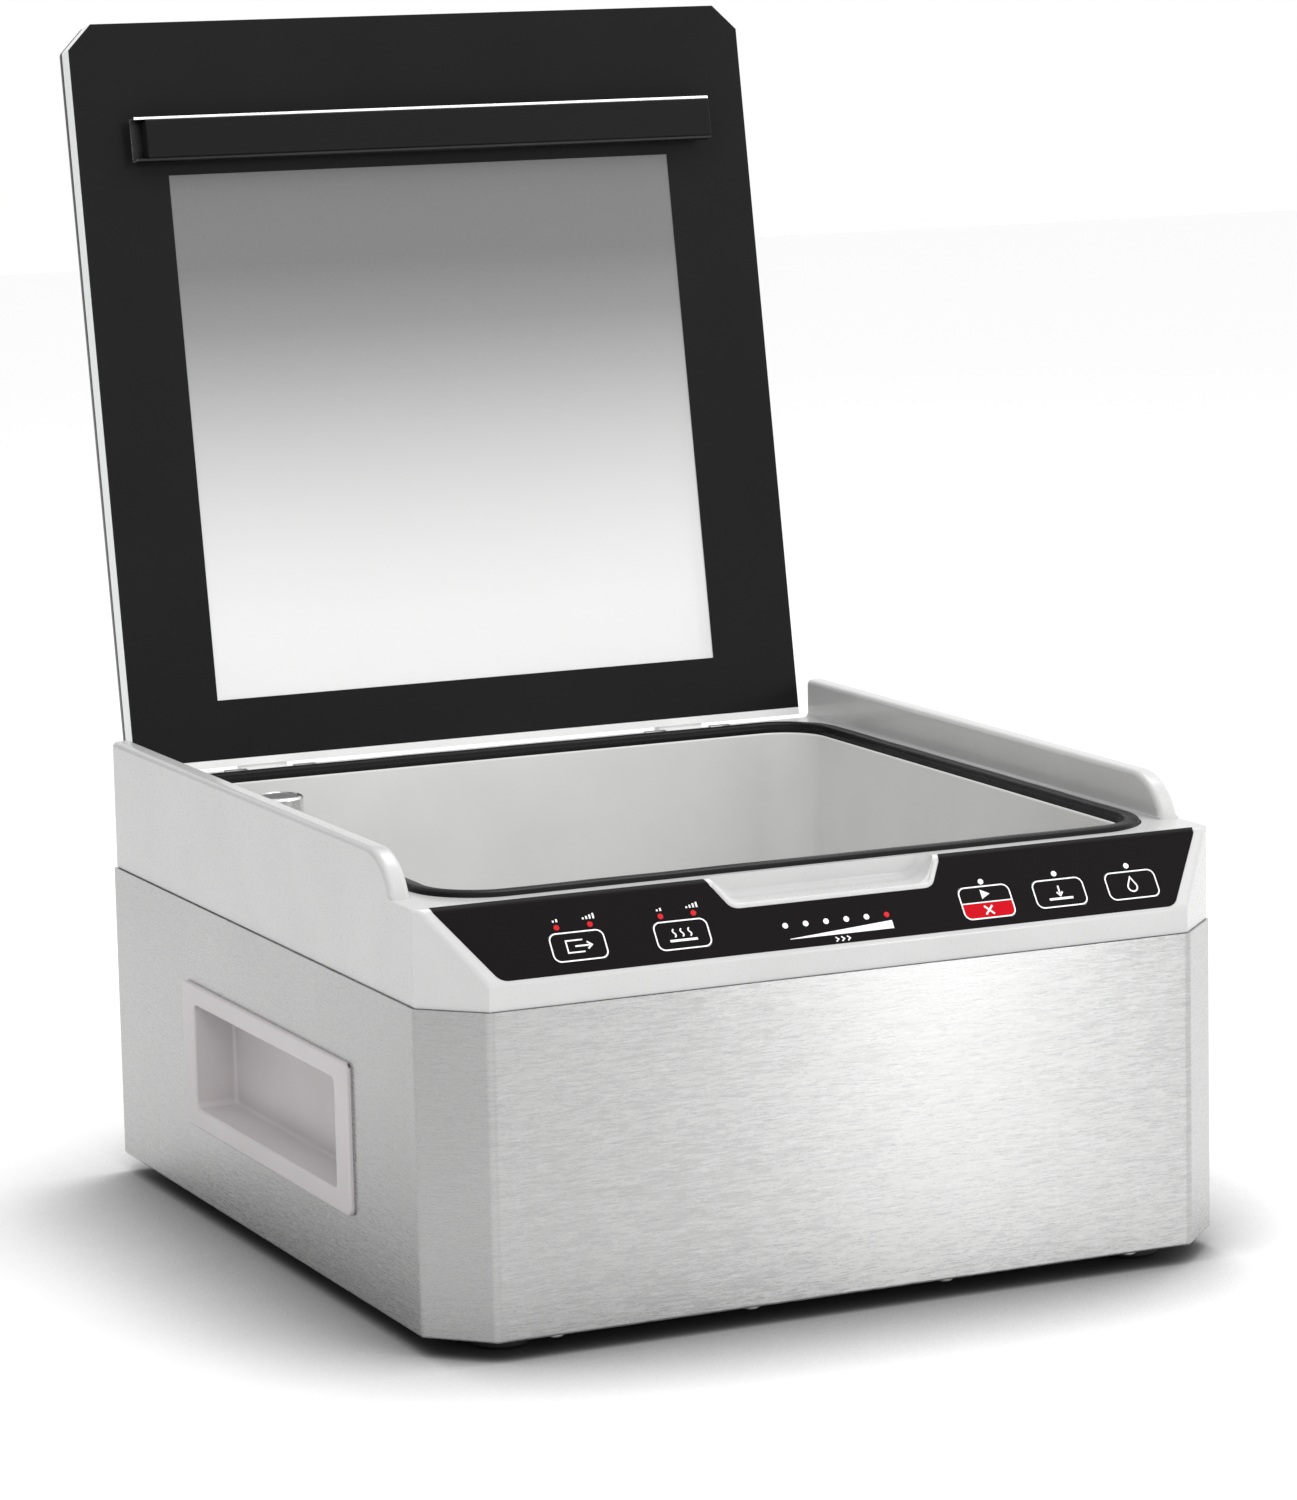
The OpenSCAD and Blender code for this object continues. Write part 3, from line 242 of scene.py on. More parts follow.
def boolean(bm, cutter, operation="DIFFERENCE"):
    """The two solids combined. Both are used up."""
    made = []
    for part in (bm, cutter):
        mesh = bpy.data.meshes.new("solid")
        part.to_mesh(mesh)
        part.free()
        made.append(bpy.data.objects.new("solid", mesh))
        collection.objects.link(made[-1])
    mod = made[0].modifiers.new("join", "BOOLEAN")
    mod.object = made[1]
    mod.operation = operation
    mod.solver = "EXACT"
    result = bpy.data.meshes.new_from_object(made[0].evaluated_get(bpy.context.evaluated_depsgraph_get()))
    out = bmesh.new()
    out.from_mesh(result)
    bpy.data.meshes.remove(result)
    for o in made:
        mesh = o.data
        bpy.data.objects.remove(o)
        bpy.data.meshes.remove(mesh)
    bmesh.ops.remove_doubles(out, verts=out.verts, dist=1e-6)
    return out


def flatten(bm, angle=0.6):
    """Merges faces that lie within angle degrees of one plane."""
    bmesh.ops.remove_doubles(bm, verts=bm.verts, dist=2e-6)
    bmesh.ops.dissolve_limit(bm, angle_limit=math.radians(angle), verts=bm.verts, edges=bm.edges)
    bmesh.ops.dissolve_degenerate(bm, dist=1e-6, edges=bm.edges)


def bevel(bm, test, width, segments, least=20):
    """Rounds edges that turn by least degrees and pass test(a, b) on their ends, as P() takes them."""
    edges = []
    for e in bm.edges:
        if len(e.link_faces) == 2 and e.calc_face_angle(0) > math.radians(least):
            a, b = [(v.co.x / MM, v.co.y / MM - BODY_Y, v.co.z / MM) for v in e.verts]
            if test(a, b):
                edges.append(e)
    if edges:
        round_edges(bm, edges, width, segments, miter_outer="SHARP", miter_inner="SHARP")


def round_edges(bm, edges, width, segments, clamp=False, **miters):
    bmesh.ops.bevel(
        bm, geom=edges, offset=width * MM, offset_type="OFFSET", segments=segments, profile=0.5,
        affect="EDGES", clamp_overlap=clamp, **miters,
    )


def near(a, b, gap=0.15):
    return abs(a - b) < gap


def ends_at(a, b, axis, value, gap=0.15):
    """Whether both ends of an edge have this coordinate, on either side of the middle for x."""
    size = abs if axis == X else float
    return near(size(a[axis]), value, gap) and near(size(b[axis]), value, gap)


def from_cad(node):
    """A copy of a CAD node's mesh, with its flat faces made whole."""
    bm = bmesh.new()
    bm.from_mesh(frame["nodes"][node].data)
    bmesh.ops.remove_doubles(bm, verts=bm.verts, dist=5e-6)
    bmesh.ops.dissolve_limit(bm, angle_limit=math.radians(0.8), verts=bm.verts, edges=bm.edges)
    return bm


def join(bm, other):
    """Adds other to bm, and uses it up."""
    mesh = bpy.data.meshes.new("part")
    other.to_mesh(mesh)
    other.free()
    bm.from_mesh(mesh)
    bpy.data.meshes.remove(mesh)


def spans(points, gap):
    """Low and high corners of each group of points within gap of the group's first one."""
    found = []
    for p in points:
        for group in found:
            if math.dist(group[0], p) < gap:
                group.append(p)
                break
        else:
            found.append([p])
    return [[[pick(c) for c in zip(*group)] for pick in (min, max)] for group in found]


# ---- Materials ----


materials = {}


class Nodes:
    """A material under its name in materials, with short ways to add its nodes."""

    def __init__(self, name):
        material = bpy.data.materials.new(name)
        material.use_nodes = True
        materials[name] = material
        self.tree = material.node_tree
        self.shader = self.tree.nodes["Principled BSDF"]
        self.coords = self.add("ShaderNodeTexCoord").outputs["Object"]

    def add(self, kind, sockets=(), **values):
        """A node with its attributes and some of its sockets set."""
        node = self.tree.nodes.new(kind)
        for k, v in values.items():
            setattr(node, k, v)
        for k, v in dict(sockets).items():
            node.inputs[k].default_value = v
        return node

    def link(self, a, b):
        self.tree.links.new(a, b)

    def feed(self, socket, v):
        """Sets a socket to a number or a colour, or links another node's output to it."""
        if isinstance(v, (int, float)):
            socket.default_value = v
        elif isinstance(v, (tuple, list)):
            socket.default_value = (*v, 1)
        else:
            self.link(v, socket)

    def noise(self, scale, detail=4.0, rough=0.55, stretch=(1, 1, 1)):
        mapping = self.add("ShaderNodeMapping", {"Scale": stretch})
        self.link(self.coords, mapping.inputs["Vector"])
        n = self.add("ShaderNodeTexNoise", {"Scale": scale, "Detail": detail, "Roughness": rough})
        self.link(mapping.outputs["Vector"], n.inputs["Vector"])
        return n.outputs["Fac"]

    def waves(self, direction, scale, distortion=0.0):
        sockets = {"Scale": scale, "Distortion": distortion}
        w = self.add("ShaderNodeTexWave", sockets, bands_direction=direction)
        self.link(self.coords, w.inputs["Vector"])
        return w.outputs["Fac"]

    def span(self, value, a, b, low=0.3, high=0.7):
        """value from low..high to a..b."""
        m = self.add("ShaderNodeMapRange", {"From Min": low, "From Max": high, "To Min": a, "To Max": b})
        self.link(value, m.inputs["Value"])
        return m.outputs["Result"]

    def math(self, operation, a, b=0.0, c=None):
        m = self.add("ShaderNodeMath", operation=operation)
        for i, v in enumerate((a, b) if c is None else (a, b, c)):
            self.feed(m.inputs[i], v)
        return m.outputs[0]

    def mix(self, factor, a, b):
        m = self.add("ShaderNodeMix", data_type="RGBA")
        for socket, v in (("Factor", factor), ("A", a), ("B", b)):
            self.feed(m.inputs[socket], v)
        return m.outputs["Result"]

    def ramp(self, value, stops):
        r = self.add("ShaderNodeValToRGB")
        ends = r.color_ramp.elements
        ends[0].position, ends[-1].position = stops[0][0], stops[-1][0]
        for position, _ in stops[1:-1]:
            ends.new(position)
        for e, (_, grey) in zip(ends, stops):
            e.color = (grey, grey, grey, 1)
        self.link(value, r.inputs["Fac"])
        return r.outputs["Color"]

    def bump(self, height, strength, distance=0.0002):
        b = self.add("ShaderNodeBump", {"Strength": strength, "Distance": distance})
        self.link(height, b.inputs["Height"])
        return b.outputs["Normal"]

    def axis(self, name):
        s = self.add("ShaderNodeSeparateXYZ")
        self.link(self.coords, s.inputs[0])
        return s.outputs[name]

    def set(self, **values):
        for k, v in values.items():
            self.feed(self.shader.inputs[k.replace("_", " ")], v)


def shades(colour, spread):
    """A colour made a little darker and a little lighter."""
    return [tuple(min(1, c * (1 + i * spread)) for c in colour) for i in (-1, 1)]


def moulded(name, colour, rough=0.35, spread=0.06, grain=1400, depth=0.05, blotch=0.03, specular=0.5,
            coat=0.0):
    """Moulded plastic, rubber or print: faint colour drift, fine grain in gloss and height."""
    k = Nodes(name)
    drift = k.noise(22, detail=3)
    fine = k.noise(grain, detail=2)
    k.set(
        Base_Color=k.mix(k.span(drift, 0, 1), *shades(colour, blotch)),
        Roughness=k.span(fine, max(0.02, rough - spread), rough + spread),
        Normal=k.bump(fine, depth),
        Specular_IOR_Level=specular,
    )
    if coat:
        k.set(Coat_Weight=coat, Coat_Roughness=0.12)


def brushed(name, colour, rough, stretch, fine=900.0, contrast=0.10, depth=0.12, anisotropy=0.55):
    """Metal brushed along the axes that stretch leaves long."""
    k = Nodes(name)
    lines = k.noise(fine, detail=6, rough=0.72, stretch=stretch)
    hairs = k.noise(fine * 0.32, detail=4, rough=0.8, stretch=stretch)
    drift = k.noise(9, detail=2)
    mixed = k.math("MULTIPLY_ADD", hairs, 0.45, k.math("MULTIPLY", lines, 0.55))
    gloss = k.span(mixed, rough - 0.07, rough + 0.07, 0.35, 0.65)
    k.set(
        Base_Color=k.mix(k.span(mixed, 0, 1, 0.35, 0.65), *shades(colour, contrast)),
        Metallic=1.0,
        Roughness=k.math("ADD", gloss, k.span(drift, -0.02, 0.02)),
        Normal=k.bump(mixed, depth, 0.0001),
        Anisotropic=anisotropy,
        Anisotropic_Rotation=0.25,
    )


def turned(name, colour, rough, contrast=0.05):
    """Plated, cast or turned metal with a fine even grain."""
    k = Nodes(name)
    fine = k.noise(500, detail=5, rough=0.6)
    drift = k.noise(35, detail=3)
    k.set(
        Base_Color=k.mix(k.span(drift, 0, 1), *shades(colour, contrast)),
        Metallic=1.0,
        Roughness=k.span(fine, rough - 0.06, rough + 0.08),
        Normal=k.bump(fine, 0.06, 0.0001),
    )


def lamp_lens(name, colour, glow):
    """The clear cap of a lamp that is faintly lit."""
    k = Nodes(name)
    fine = k.noise(900, detail=2)
    k.set(
        Base_Color=k.mix(k.span(fine, 0, 1), tuple(c * 0.92 for c in colour), colour),
        Roughness=k.span(fine, 0.12, 0.22),
        Emission_Color=colour,
        Emission_Strength=glow,
        Specular_IOR_Level=0.2,
        Normal=k.bump(fine, 0.02),
    )


def board(name):
    """Solder mask over copper, with faint tracks."""
    k = Nodes(name)
    tracks = k.add("ShaderNodeTexBrick", {"Scale": 130, "Mortar Size": 0.06})
    k.link(k.coords, tracks.inputs["Vector"])
    fine = k.noise(500, detail=3)
    k.set(
        Base_Color=k.mix(tracks.outputs["Fac"], (0.012, 0.10, 0.035), (0.03, 0.19, 0.07)),
        Roughness=k.span(fine, 0.28, 0.42),
        Normal=k.bump(tracks.outputs["Fac"], 0.15, 0.0001),
    )


def woven(name, colour):
    """Plain-woven coated cloth."""
    k = Nodes(name)
    cloth = k.math("MULTIPLY", k.waves("X", 450), k.waves("Y", 450))
    k.set(
        Base_Color=k.mix(cloth, tuple(c * 0.7 for c in colour), colour),
        Roughness=k.span(cloth, 0.5, 0.62, 0, 1),
        Normal=k.bump(cloth, 0.3, 0.0001),
    )


def wound(name, colour):
    """Turns of enamelled wire."""
    k = Nodes(name)
    wires = k.waves("Z", 260, 0.6)
    k.set(
        Base_Color=k.mix(wires, tuple(c * 0.45 for c in colour), colour),
        Metallic=0.9,
        Roughness=k.span(wires, 0.3, 0.45, 0, 1),
        Normal=k.bump(wires, 0.5, 0.0002),
    )


# Brightness and cover of the pane, from its hinge edge to its front edge. The brightness is a painted reflection:
# pale at the hinge edge, grey towards the front edge
PANE_PAINTED_REFLECTION = [
    (0.0, 0.90), (0.13, 0.85), (0.25, 0.76), (0.36, 0.65), (0.48, 0.515), (0.59, 0.375), (0.70, 0.25),
    (0.82, 0.172), (1.0, 0.166),
]
PANE_COVER = [(0.0, 0.8), (0.4, 0.88), (0.75, 0.96), (1.0, 0.97)]


def lid_pane(name):
    """Clear acrylic. The pane clouds from its hinge edge up and carries a painted reflection that greys it towards
    its front edge. It is solid white behind the printed border.
    """
    k = Nodes(name)
    z = k.axis("Z")
    x = k.axis("X")
    margin = 2 * MM
    low_z = L(0, WINDOW_LOW_S, 0).z
    high_z = L(0, WINDOW_HIGH_S, 0).z
    along = k.span(z, 0, 1, low_z, high_z)
    # painted reflection in the base colour: pale at the hinge edge, grey towards the front edge
    painted_reflection = k.ramp(along, PANE_PAINTED_REFLECTION)
    cover = k.ramp(along, PANE_COVER)
    inside_x = k.math("LESS_THAN", k.math("ABSOLUTE", x), WINDOW_X * MM)
    above = k.math("GREATER_THAN", z, low_z - margin)
    inside = k.math("MULTIPLY", inside_x, k.math("MULTIPLY", above, k.math("LESS_THAN", z, high_z + margin)))
    fine = k.noise(800, detail=3)
    k.set(
        Base_Color=k.mix(k.span(fine, 0, 0.015), k.mix(inside, (0.80, 0.81, 0.81), painted_reflection), (0.9, 0.9, 0.9)),
        Roughness=k.span(fine, 0.28, 0.34),
        Specular_IOR_Level=0.3,
        Alpha=k.math("MULTIPLY_ADD", k.math("SUBTRACT", cover, 1.0), inside, 1.0),
    )


FILM_BLACK = (0.0080, 0.0068, 0.0072)
ALONG_X, ALONG_XY, ALONG_YZ = (0.03, 1, 1), (0.10, 0.10, 1), (1, 0.03, 0.03)
FILM = dict(rough=0.30, spread=0.04, grain=2600, depth=0.01, specular=0.03)

brushed("stainless", (0.42, 0.42, 0.417), 0.28, ALONG_XY, fine=2100, contrast=0.17, depth=0.1, anisotropy=0.9)
turned("zinc_plate", (0.55, 0.56, 0.57), 0.42, contrast=0.12)
moulded("top_plastic", (0.52, 0.52, 0.517), rough=0.3, spread=0.04, depth=0.03, coat=0.25)
moulded("chamber_plastic", (0.60, 0.60, 0.59), rough=0.33, spread=0.04, depth=0.03)
moulded("gasket_rubber", (0.009, 0.009, 0.0095), rough=0.3, spread=0.05, depth=0.05, blotch=0.1, specular=0.1)
moulded("handle_plastic", (0.55, 0.52, 0.527), rough=0.4, spread=0.05, depth=0.04)
moulded("overlay_film", FILM_BLACK, **FILM)
moulded("key_film", FILM_BLACK, **FILM)
moulded("red_print", (0.50, 0.004, 0.012), rough=0.27, spread=0.04, grain=2600, depth=0.03, specular=0.03)
moulded("white_print", (0.88, 0.88, 0.87), rough=0.4, spread=0.03, grain=2600, depth=0.02)
lamp_lens("red_lens", (0.55, 0.003, 0.008), 0.1)
lamp_lens("white_lens", (0.93, 0.93, 0.92), 0.12)
board("circuit_board")
moulded("black_plastic", (0.02, 0.02, 0.022), rough=0.45, depth=0.12, blotch=0.1)
moulded("black_rubber", (0.012, 0.012, 0.012), rough=0.62, depth=0.15, blotch=0.15)
turned("chrome_cap", (0.80, 0.80, 0.80), 0.22)
moulded("cap_inset", (0.16, 0.16, 0.165), rough=0.38, depth=0.1)
moulded("pale_plastic", (0.74, 0.74, 0.72), rough=0.42)
turned("cast_aluminium", (0.60, 0.61, 0.62), 0.5, contrast=0.12)
brushed("bar_aluminium", (0.74, 0.75, 0.76), 0.32, ALONG_X)
moulded("motor_steel", (0.10, 0.11, 0.12), rough=0.4, depth=0.1)
turned("rotor_steel", (0.55, 0.55, 0.55), 0.35)
moulded("hose_silicone", (0.72, 0.72, 0.69), rough=0.35)
brushed("core_steel", (0.22, 0.22, 0.23), 0.5, ALONG_YZ)
wound("copper_coil", (0.62, 0.25, 0.10))
turned("brass_fitting", (0.72, 0.55, 0.26), 0.3)
turned("screw_steel", (0.84, 0.84, 0.83), 0.38)
turned("hinge_steel", (0.58, 0.58, 0.58), 0.36)
turned("heating_strip", (0.55, 0.50, 0.44), 0.3)
woven("woven_tape", (0.42, 0.28, 0.15))
moulded("rocker_red", (0.42, 0.012, 0.012), rough=0.25, depth=0.03)
lid_pane("clear_acrylic")
moulded("mask_print", (0.0125, 0.0125, 0.0130), rough=0.16, spread=0.02, grain=700, depth=0.004, blotch=0.05,
        specular=0.05)
moulded("lid_cover_grey", (0.075, 0.075, 0.08), rough=0.26, spread=0.03, depth=0.02, specular=0.3)
moulded("trim_white", (0.84, 0.84, 0.835), rough=0.3, depth=0.03)
moulded("pad_silicone", (0.0075, 0.0075, 0.0078), rough=0.42, depth=0.06, specular=0.1)
brushed("channel_aluminium", (0.035, 0.035, 0.036), 0.38, ALONG_X, contrast=0.2)
# bright metal: bare on the channel's cut end, and a painted highlight along its top edge
turned("channel_edge", (0.93, 0.93, 0.93), 0.3)

# Every CAD node starts with the finish its record slot names
slot_of = {row["node"]: row["material_slot"] for row in frame["record"]["subparts"]}
for node, obj in frame["nodes"].items():
    obj.data.materials.clear()
    obj.data.materials.append(materials.get(slot_of[node], materials["key_film"]))

# ---- Plastic top ----


def envelope(g):
    """The plastic top without its rails, shrunk by g."""
    low = HOUSING_Z - (1 if g else 0)
    knee = BAND_Z - g * math.tan(math.pi / 4 - SLOPE_TURN / 2)
    brow_y = FRONT_Y + SLOPE_RUN + g * math.tan(SLOPE_TURN / 2)
    front, rear, deck, side = FRONT_Y + g, REAR_Y - g, DECK_Z - g, SIDE_X - g
    profile = [(front, low), (front, knee), (brow_y, deck), (rear, deck), (rear, low)]
    bm = prism([P(-side, y, z) for y, z in profile], (2 * side * MM, 0, 0))
    cut = CORNER_CUT - CORNER_CUT_SHRINK * g
    for i in (-1, 1):
        geom = bm.verts[:] + bm.edges[:] + bm.faces[:]
        at = P(i * side, front + cut, 0)
        out = bmesh.ops.bisect_plane(bm, geom=geom, plane_co=at, plane_no=(i, -1, 0), clear_outer=True)
        cut_edges = [e for e in out["geom_cut"] if isinstance(e, bmesh.types.BMEdge)]
        bmesh.ops.holes_fill(bm, edges=cut_edges)
    return outward(bm)


RAIL_FRONT_Y = -119
RAIL_TOE = 25
RAIL_H = RAIL_Z - DECK_Z
RAIL_ARC_R = (RAIL_TOE**2 + RAIL_H**2) / (2 * RAIL_H)
RAIL_ROOT_Z = DECK_Z - 2.5


def rail(i):
    """A side rail with a rounded top that sweeps down to the deck in front."""
    sweep = math.degrees(math.acos((RAIL_ARC_R - RAIL_H) / RAIL_ARC_R))
    arc = arc_points(RAIL_FRONT_Y, RAIL_Z - RAIL_ARC_R, RAIL_ARC_R, 90, 90 + sweep, 14)
    outline = [(REAR_Y, RAIL_ROOT_Z), (REAR_Y, RAIL_Z), *arc, (arc[-1][0] - 1.5, RAIL_ROOT_Z)]
    x = i * (SIDE_X - RAIL_T / 2)
    bm = prism([P(x - RAIL_T / 2, y, z) for y, z in outline], (RAIL_T * MM, 0, 0))

    def crown(a, b):
        above_deck = min(a[Z], b[Z]) > DECK_Z - 1.5
        return near(a[X], b[X]) and above_deck and not ends_at(a, b, Y, REAR_Y)

    bevel(bm, crown, 2.6, 5)
    return bm


SCOOP_X = -0.7
SCOOP_TOP = 107.6
SCOOP_LOW = 90
SCOOP_LIP = 2.5
SCOOP_S = 21
SCOOP_CORNER = 6
SCOOP_BACK_Y = -162.3
SCOOP_FLOOR_Z = BAND_Z + (SCOOP_S + SCOOP_LIP) * UP_SLOPE.z
SCOOP_REACH = 40


def scoop(g, back):
    """The finger scoop's space, grown by g, in front of a back wall at y."""
    low_w = SCOOP_LOW / 2 - SCOOP_LIP + g
    top_w = SCOOP_TOP / 2 - SCOOP_LIP + g
    floor = SCOOP_FLOOR_Z - g
    top = DECK_Z + 1.2
    points = [(-low_w, floor), (low_w, floor), (top_w, top), (-top_w, top)]
    bm = prism([P(SCOOP_X + x, back - SCOOP_REACH, z) for x, z in points], (0, SCOOP_REACH * MM, 0))
    bevel(bm, lambda a, b: ends_at(a, b, Z, floor) and near(a[X], b[X]), 4.5, 6, least=10)
    bevel(bm, lambda a, b: ends_at(a, b, Y, back) and a[Z] < DECK_Z, 3.0, 5, least=10)
    return bm


HINGE_X = 105
HINGE_W = 44
POCKET_Y = 181.8
POCKET_DEPTH = 7


def hinge_pocket(i, g):
    """The space round one hinge bracket, grown by g."""
    w = HINGE_W / 2 + 0.5 + g
    x0, x1 = i * HINGE_X - w, i * HINGE_X + w
    y0, y1 = POCKET_Y - g, REAR_Y + (0 if g else 1)
    low = DECK_Z - POCKET_DEPTH - g
    return prism([P(x, y, low) for x, y in ((x0, y0), (x1, y0), (x1, y1), (x0, y1))], (0, 0, 20 * MM))


OVERLAY_LOW_X = 151
OVERLAY_TOP_X = 172
OVERLAY_LOW_S = 1.2
OVERLAY_TOP_S = SLOPE_L - 0.6
OVERLAY_CORNER = 6
NOTCH_LEAN = math.degrees(math.atan2(SLOPE_L - SCOOP_S, (SCOOP_TOP - SCOOP_LOW) / 2))


def notch(r, inset, top_s):
    """A line round the scoop's edge on the slope, left to right, inset from it, with corners of radius r."""
    corner_x = SCOOP_LOW / 2 - SCOOP_CORNER * math.tan(math.radians(NOTCH_LEAN / 2))
    right = arc_points(corner_x, SCOOP_S + SCOOP_CORNER, r, -90, -90 + NOTCH_LEAN, 8)
    end_x = SCOOP_LOW / 2 - inset + (top_s - SCOOP_S - inset) / math.tan(math.radians(NOTCH_LEAN))
    right.append((end_x, top_s))
    return [(SCOOP_X - x, s) for x, s in right[::-1]] + [(SCOOP_X + x, s) for x, s in right]


def overlay_outline(grow):
    """The film's outline, grown, with the scoop's notch in its top edge, in slope millimetres."""
    lean = math.degrees(math.atan2(OVERLAY_TOP_S - OVERLAY_LOW_S, OVERLAY_TOP_X - OVERLAY_LOW_X))
    cx = OVERLAY_LOW_X - OVERLAY_CORNER * math.tan(math.radians(lean / 2))
    right = arc_points(cx, OVERLAY_LOW_S + OVERLAY_CORNER, OVERLAY_CORNER + grow, -90, -90 + lean, 8)
    right.append((OVERLAY_TOP_X + grow, OVERLAY_TOP_S))
    left = [(-x, s) for x, s in right[::-1]]
    return right + notch(SCOOP_CORNER + grow, 0, OVERLAY_TOP_S)[::-1] + left


KEY_NODES = ["key_vacuum", "key_sealing", "key_auto_cancel", "key_seal", "key_marinate"]


def key_frame(node):
    """Middle x, middle s, width and length of a key's face."""
    points = [slope_of(v.co) for v in frame["nodes"][node].data.vertices]
    face = [p for p in points if p[2] > 0.2]
    xs = [p[0] for p in face]
    ss = [p[1] for p in face]
    return (min(xs) + max(xs)) / 2, (min(ss) + max(ss)) / 2, max(xs) - min(xs), max(ss) - min(ss)


keys = {node: key_frame(node) for node in KEY_NODES}


def lens_frames(node):
    """Middles of a node's round lenses, in slope millimetres."""
    points = [slope_of(v.co) for v in frame["nodes"][node].data.vertices]
    boxes = spans([p[:2] for p in points if p[2] > 0.3], 3)
    return sorted(tuple((a + b) / 2 for a, b in zip(*box)) for box in boxes)


red_lenses = lens_frames("red_indicator_lenses")
white_lenses = lens_frames("white_indicator_lenses")


def on_top_outline(p):
    """Whether a point lies on the outline of the plastic top's lower edge."""
    slanted = near(abs(p[X]) - p[Y], SIDE_X - FRONT_Y - CORNER_CUT, 0.1)
    return near(abs(p[X]), SIDE_X, 0.05) or near(p[Y], FRONT_Y, 0.05) or near(p[Y], REAR_Y, 0.05) or slanted


def top_housing():
    """The plastic top, hollow, with its rails, scoop, hinge pockets, chamber opening and film recess."""
    bm = envelope(0)
    flatten(bm)
    brow_y = FRONT_Y + SLOPE_RUN + 1
    bevel(bm, lambda a, b: ends_at(a, b, Z, DECK_Z) and max(a[Y], b[Y]) < brow_y and near(a[Y], b[Y]),
          BROW_R * math.tan(SLOPE_TURN / 2), 8)
    bevel(bm, lambda a, b: ends_at(a, b, Z, BAND_Z) and ends_at(a, b, Y, FRONT_Y), 1.3, 3)

    def corner_cut(a, b):
        slanted = near(abs(a[X]) - a[Y], abs(b[X]) - b[Y]) and not near(a[X], b[X])
        return slanted and a[Y] < 0 and min(a[Z], b[Z]) > HOUSING_Z + 0.5

    bevel(bm, corner_cut, 1.6, 3, least=15)
    for i in (-1, 1):
        bm = boolean(bm, rail(i), "UNION")
    flatten(bm)
    bevel(bm, lambda a, b: ends_at(a, b, X, SIDE_X - RAIL_T) and ends_at(a, b, Z, DECK_Z) and a[X] * b[X] > 0,
          2.4, 4)
    bm = boolean(bm, scoop_bead(), "UNION")

    # hollow inside, with walls left round the scoop and the hinge pockets
    cavity = boolean(envelope(WALL), scoop(WALL, SCOOP_BACK_Y + WALL))
    for i in (-1, 1):
        cavity = boolean(cavity, hinge_pocket(i, WALL))
    bm = boolean(bm, cavity)
    bm = boolean(bm, scoop(0, SCOOP_BACK_Y))
    for i in (-1, 1):
        bm = boolean(bm, hinge_pocket(i, 0))
    opening = rounded_loop(330.2, 334.2, 30.8, 14, cy=CHAMBER_Y)
    bm = boolean(bm, prism([P(x, y, DECK_Z - 20) for x, y in opening], (0, 0, 30 * MM)))
    bm = boolean(bm, prism([S(x, s, -0.5) for x, s in overlay_outline(0.12)], NORMAL * 5 * MM))
    holes = bmesh.new()

    def hole(x, s, w, l, r, low, depth):
        outline = rounded_loop(w, l, r, 5)
        join(holes, prism([S(x + u, s + v, low) for u, v in outline], NORMAL * depth * MM))

    for x, s, w, l in keys.values():
        hole(x, s, w + 0.7, l + 0.7, 3.8, -1.3, 5)
        hole(x, s, 4.6, 4.6, 2.29, -6, 4.9)
    for x, s in red_lenses + white_lenses:
        hole(x, s, 2.5, 2.5, 1.24, -6, 5.9)
    bm = boolean(bm, holes)
    flatten(bm, 0.3)
    bevel(bm, lambda a, b: ends_at(a, b, Z, HOUSING_Z, 0.05) and on_top_outline(a) and on_top_outline(b),
          0.5, 2)
    return bm


def scoop_bead():
    """A low rounded bead that follows the scoop's edge on the slope."""
    inset = SCOOP_LIP / 2
    path = notch(SCOOP_CORNER - inset, inset, SLOPE_L - 3.0)
    half_w, high, sunk = 1.2, 0.75, -0.8
    crest = [(half_w * math.cos(math.pi * m / 8), high * math.sin(math.pi * m / 8)) for m in range(9)]
    section = [*crest, (-half_w, sunk), (half_w, sunk)]
    loops = []
    for k, (x, s) in enumerate(path):
        before, after = path[max(0, k - 1)], path[min(len(path) - 1, k + 1)]
        dx, ds = after[0] - before[0], after[1] - before[1]
        length = math.hypot(dx, ds)
        nx, ns = -ds / length, dx / length
        loops.append([S(x + nx * u, s + ns * u, n) for u, n in section])
    bm = bmesh.new()
    skin(bm, loops, cap_first=True, cap_last=True)
    return outward(bm)


place("top_housing_skin", top_housing(), "top_plastic", 28, nodes=["top_housing"])

# ---- Stainless wrap ----


def body_shell():
    """The steel wrap, with its bends and its lower edge rounded."""
    bm = from_cad("body_shell")
    bend_y, bend_x = SHELL_CUT - HALF_D, HALF_W - SHELL_CUT

    def on_outline(p):
        slanted = near(abs(p[X]) - p[Y], HALF_W - bend_y, 0.2)
        return near(abs(p[X]), HALF_W) or near(p[Y], -HALF_D) or slanted

    def upright(a, b):
        return near(a[X], b[X]) and near(a[Y], b[Y]) and abs(a[Z] - b[Z]) > 5

    bevel(bm, lambda a, b: ends_at(a, b, Z, SHELL_LOW_Z) and on_outline(a) and on_outline(b), 1.3, 4)
    bevel(bm, lambda a, b: upright(a, b) and near(abs(a[X]), HALF_W) and near(a[Y], bend_y), 1.2, 5)
    bevel(bm, lambda a, b: upright(a, b) and near(abs(a[X]), bend_x) and near(a[Y], -HALF_D), 2.2, 8)
    return bm


place("body_shell_skin", body_shell(), "stainless", 25, nodes=["body_shell"])

# ---- Control film, which rolls over the brow, and its print ----

FILM_TOP = 0.3
PRINT_LOW, PRINT_TOP = FILM_TOP - 0.06, FILM_TOP + 0.05
BROW_START = SLOPE_L - BROW_R * math.tan(SLOPE_TURN / 2)
ROLL_STRETCH = 1.75
ROLL_STEPS = 9


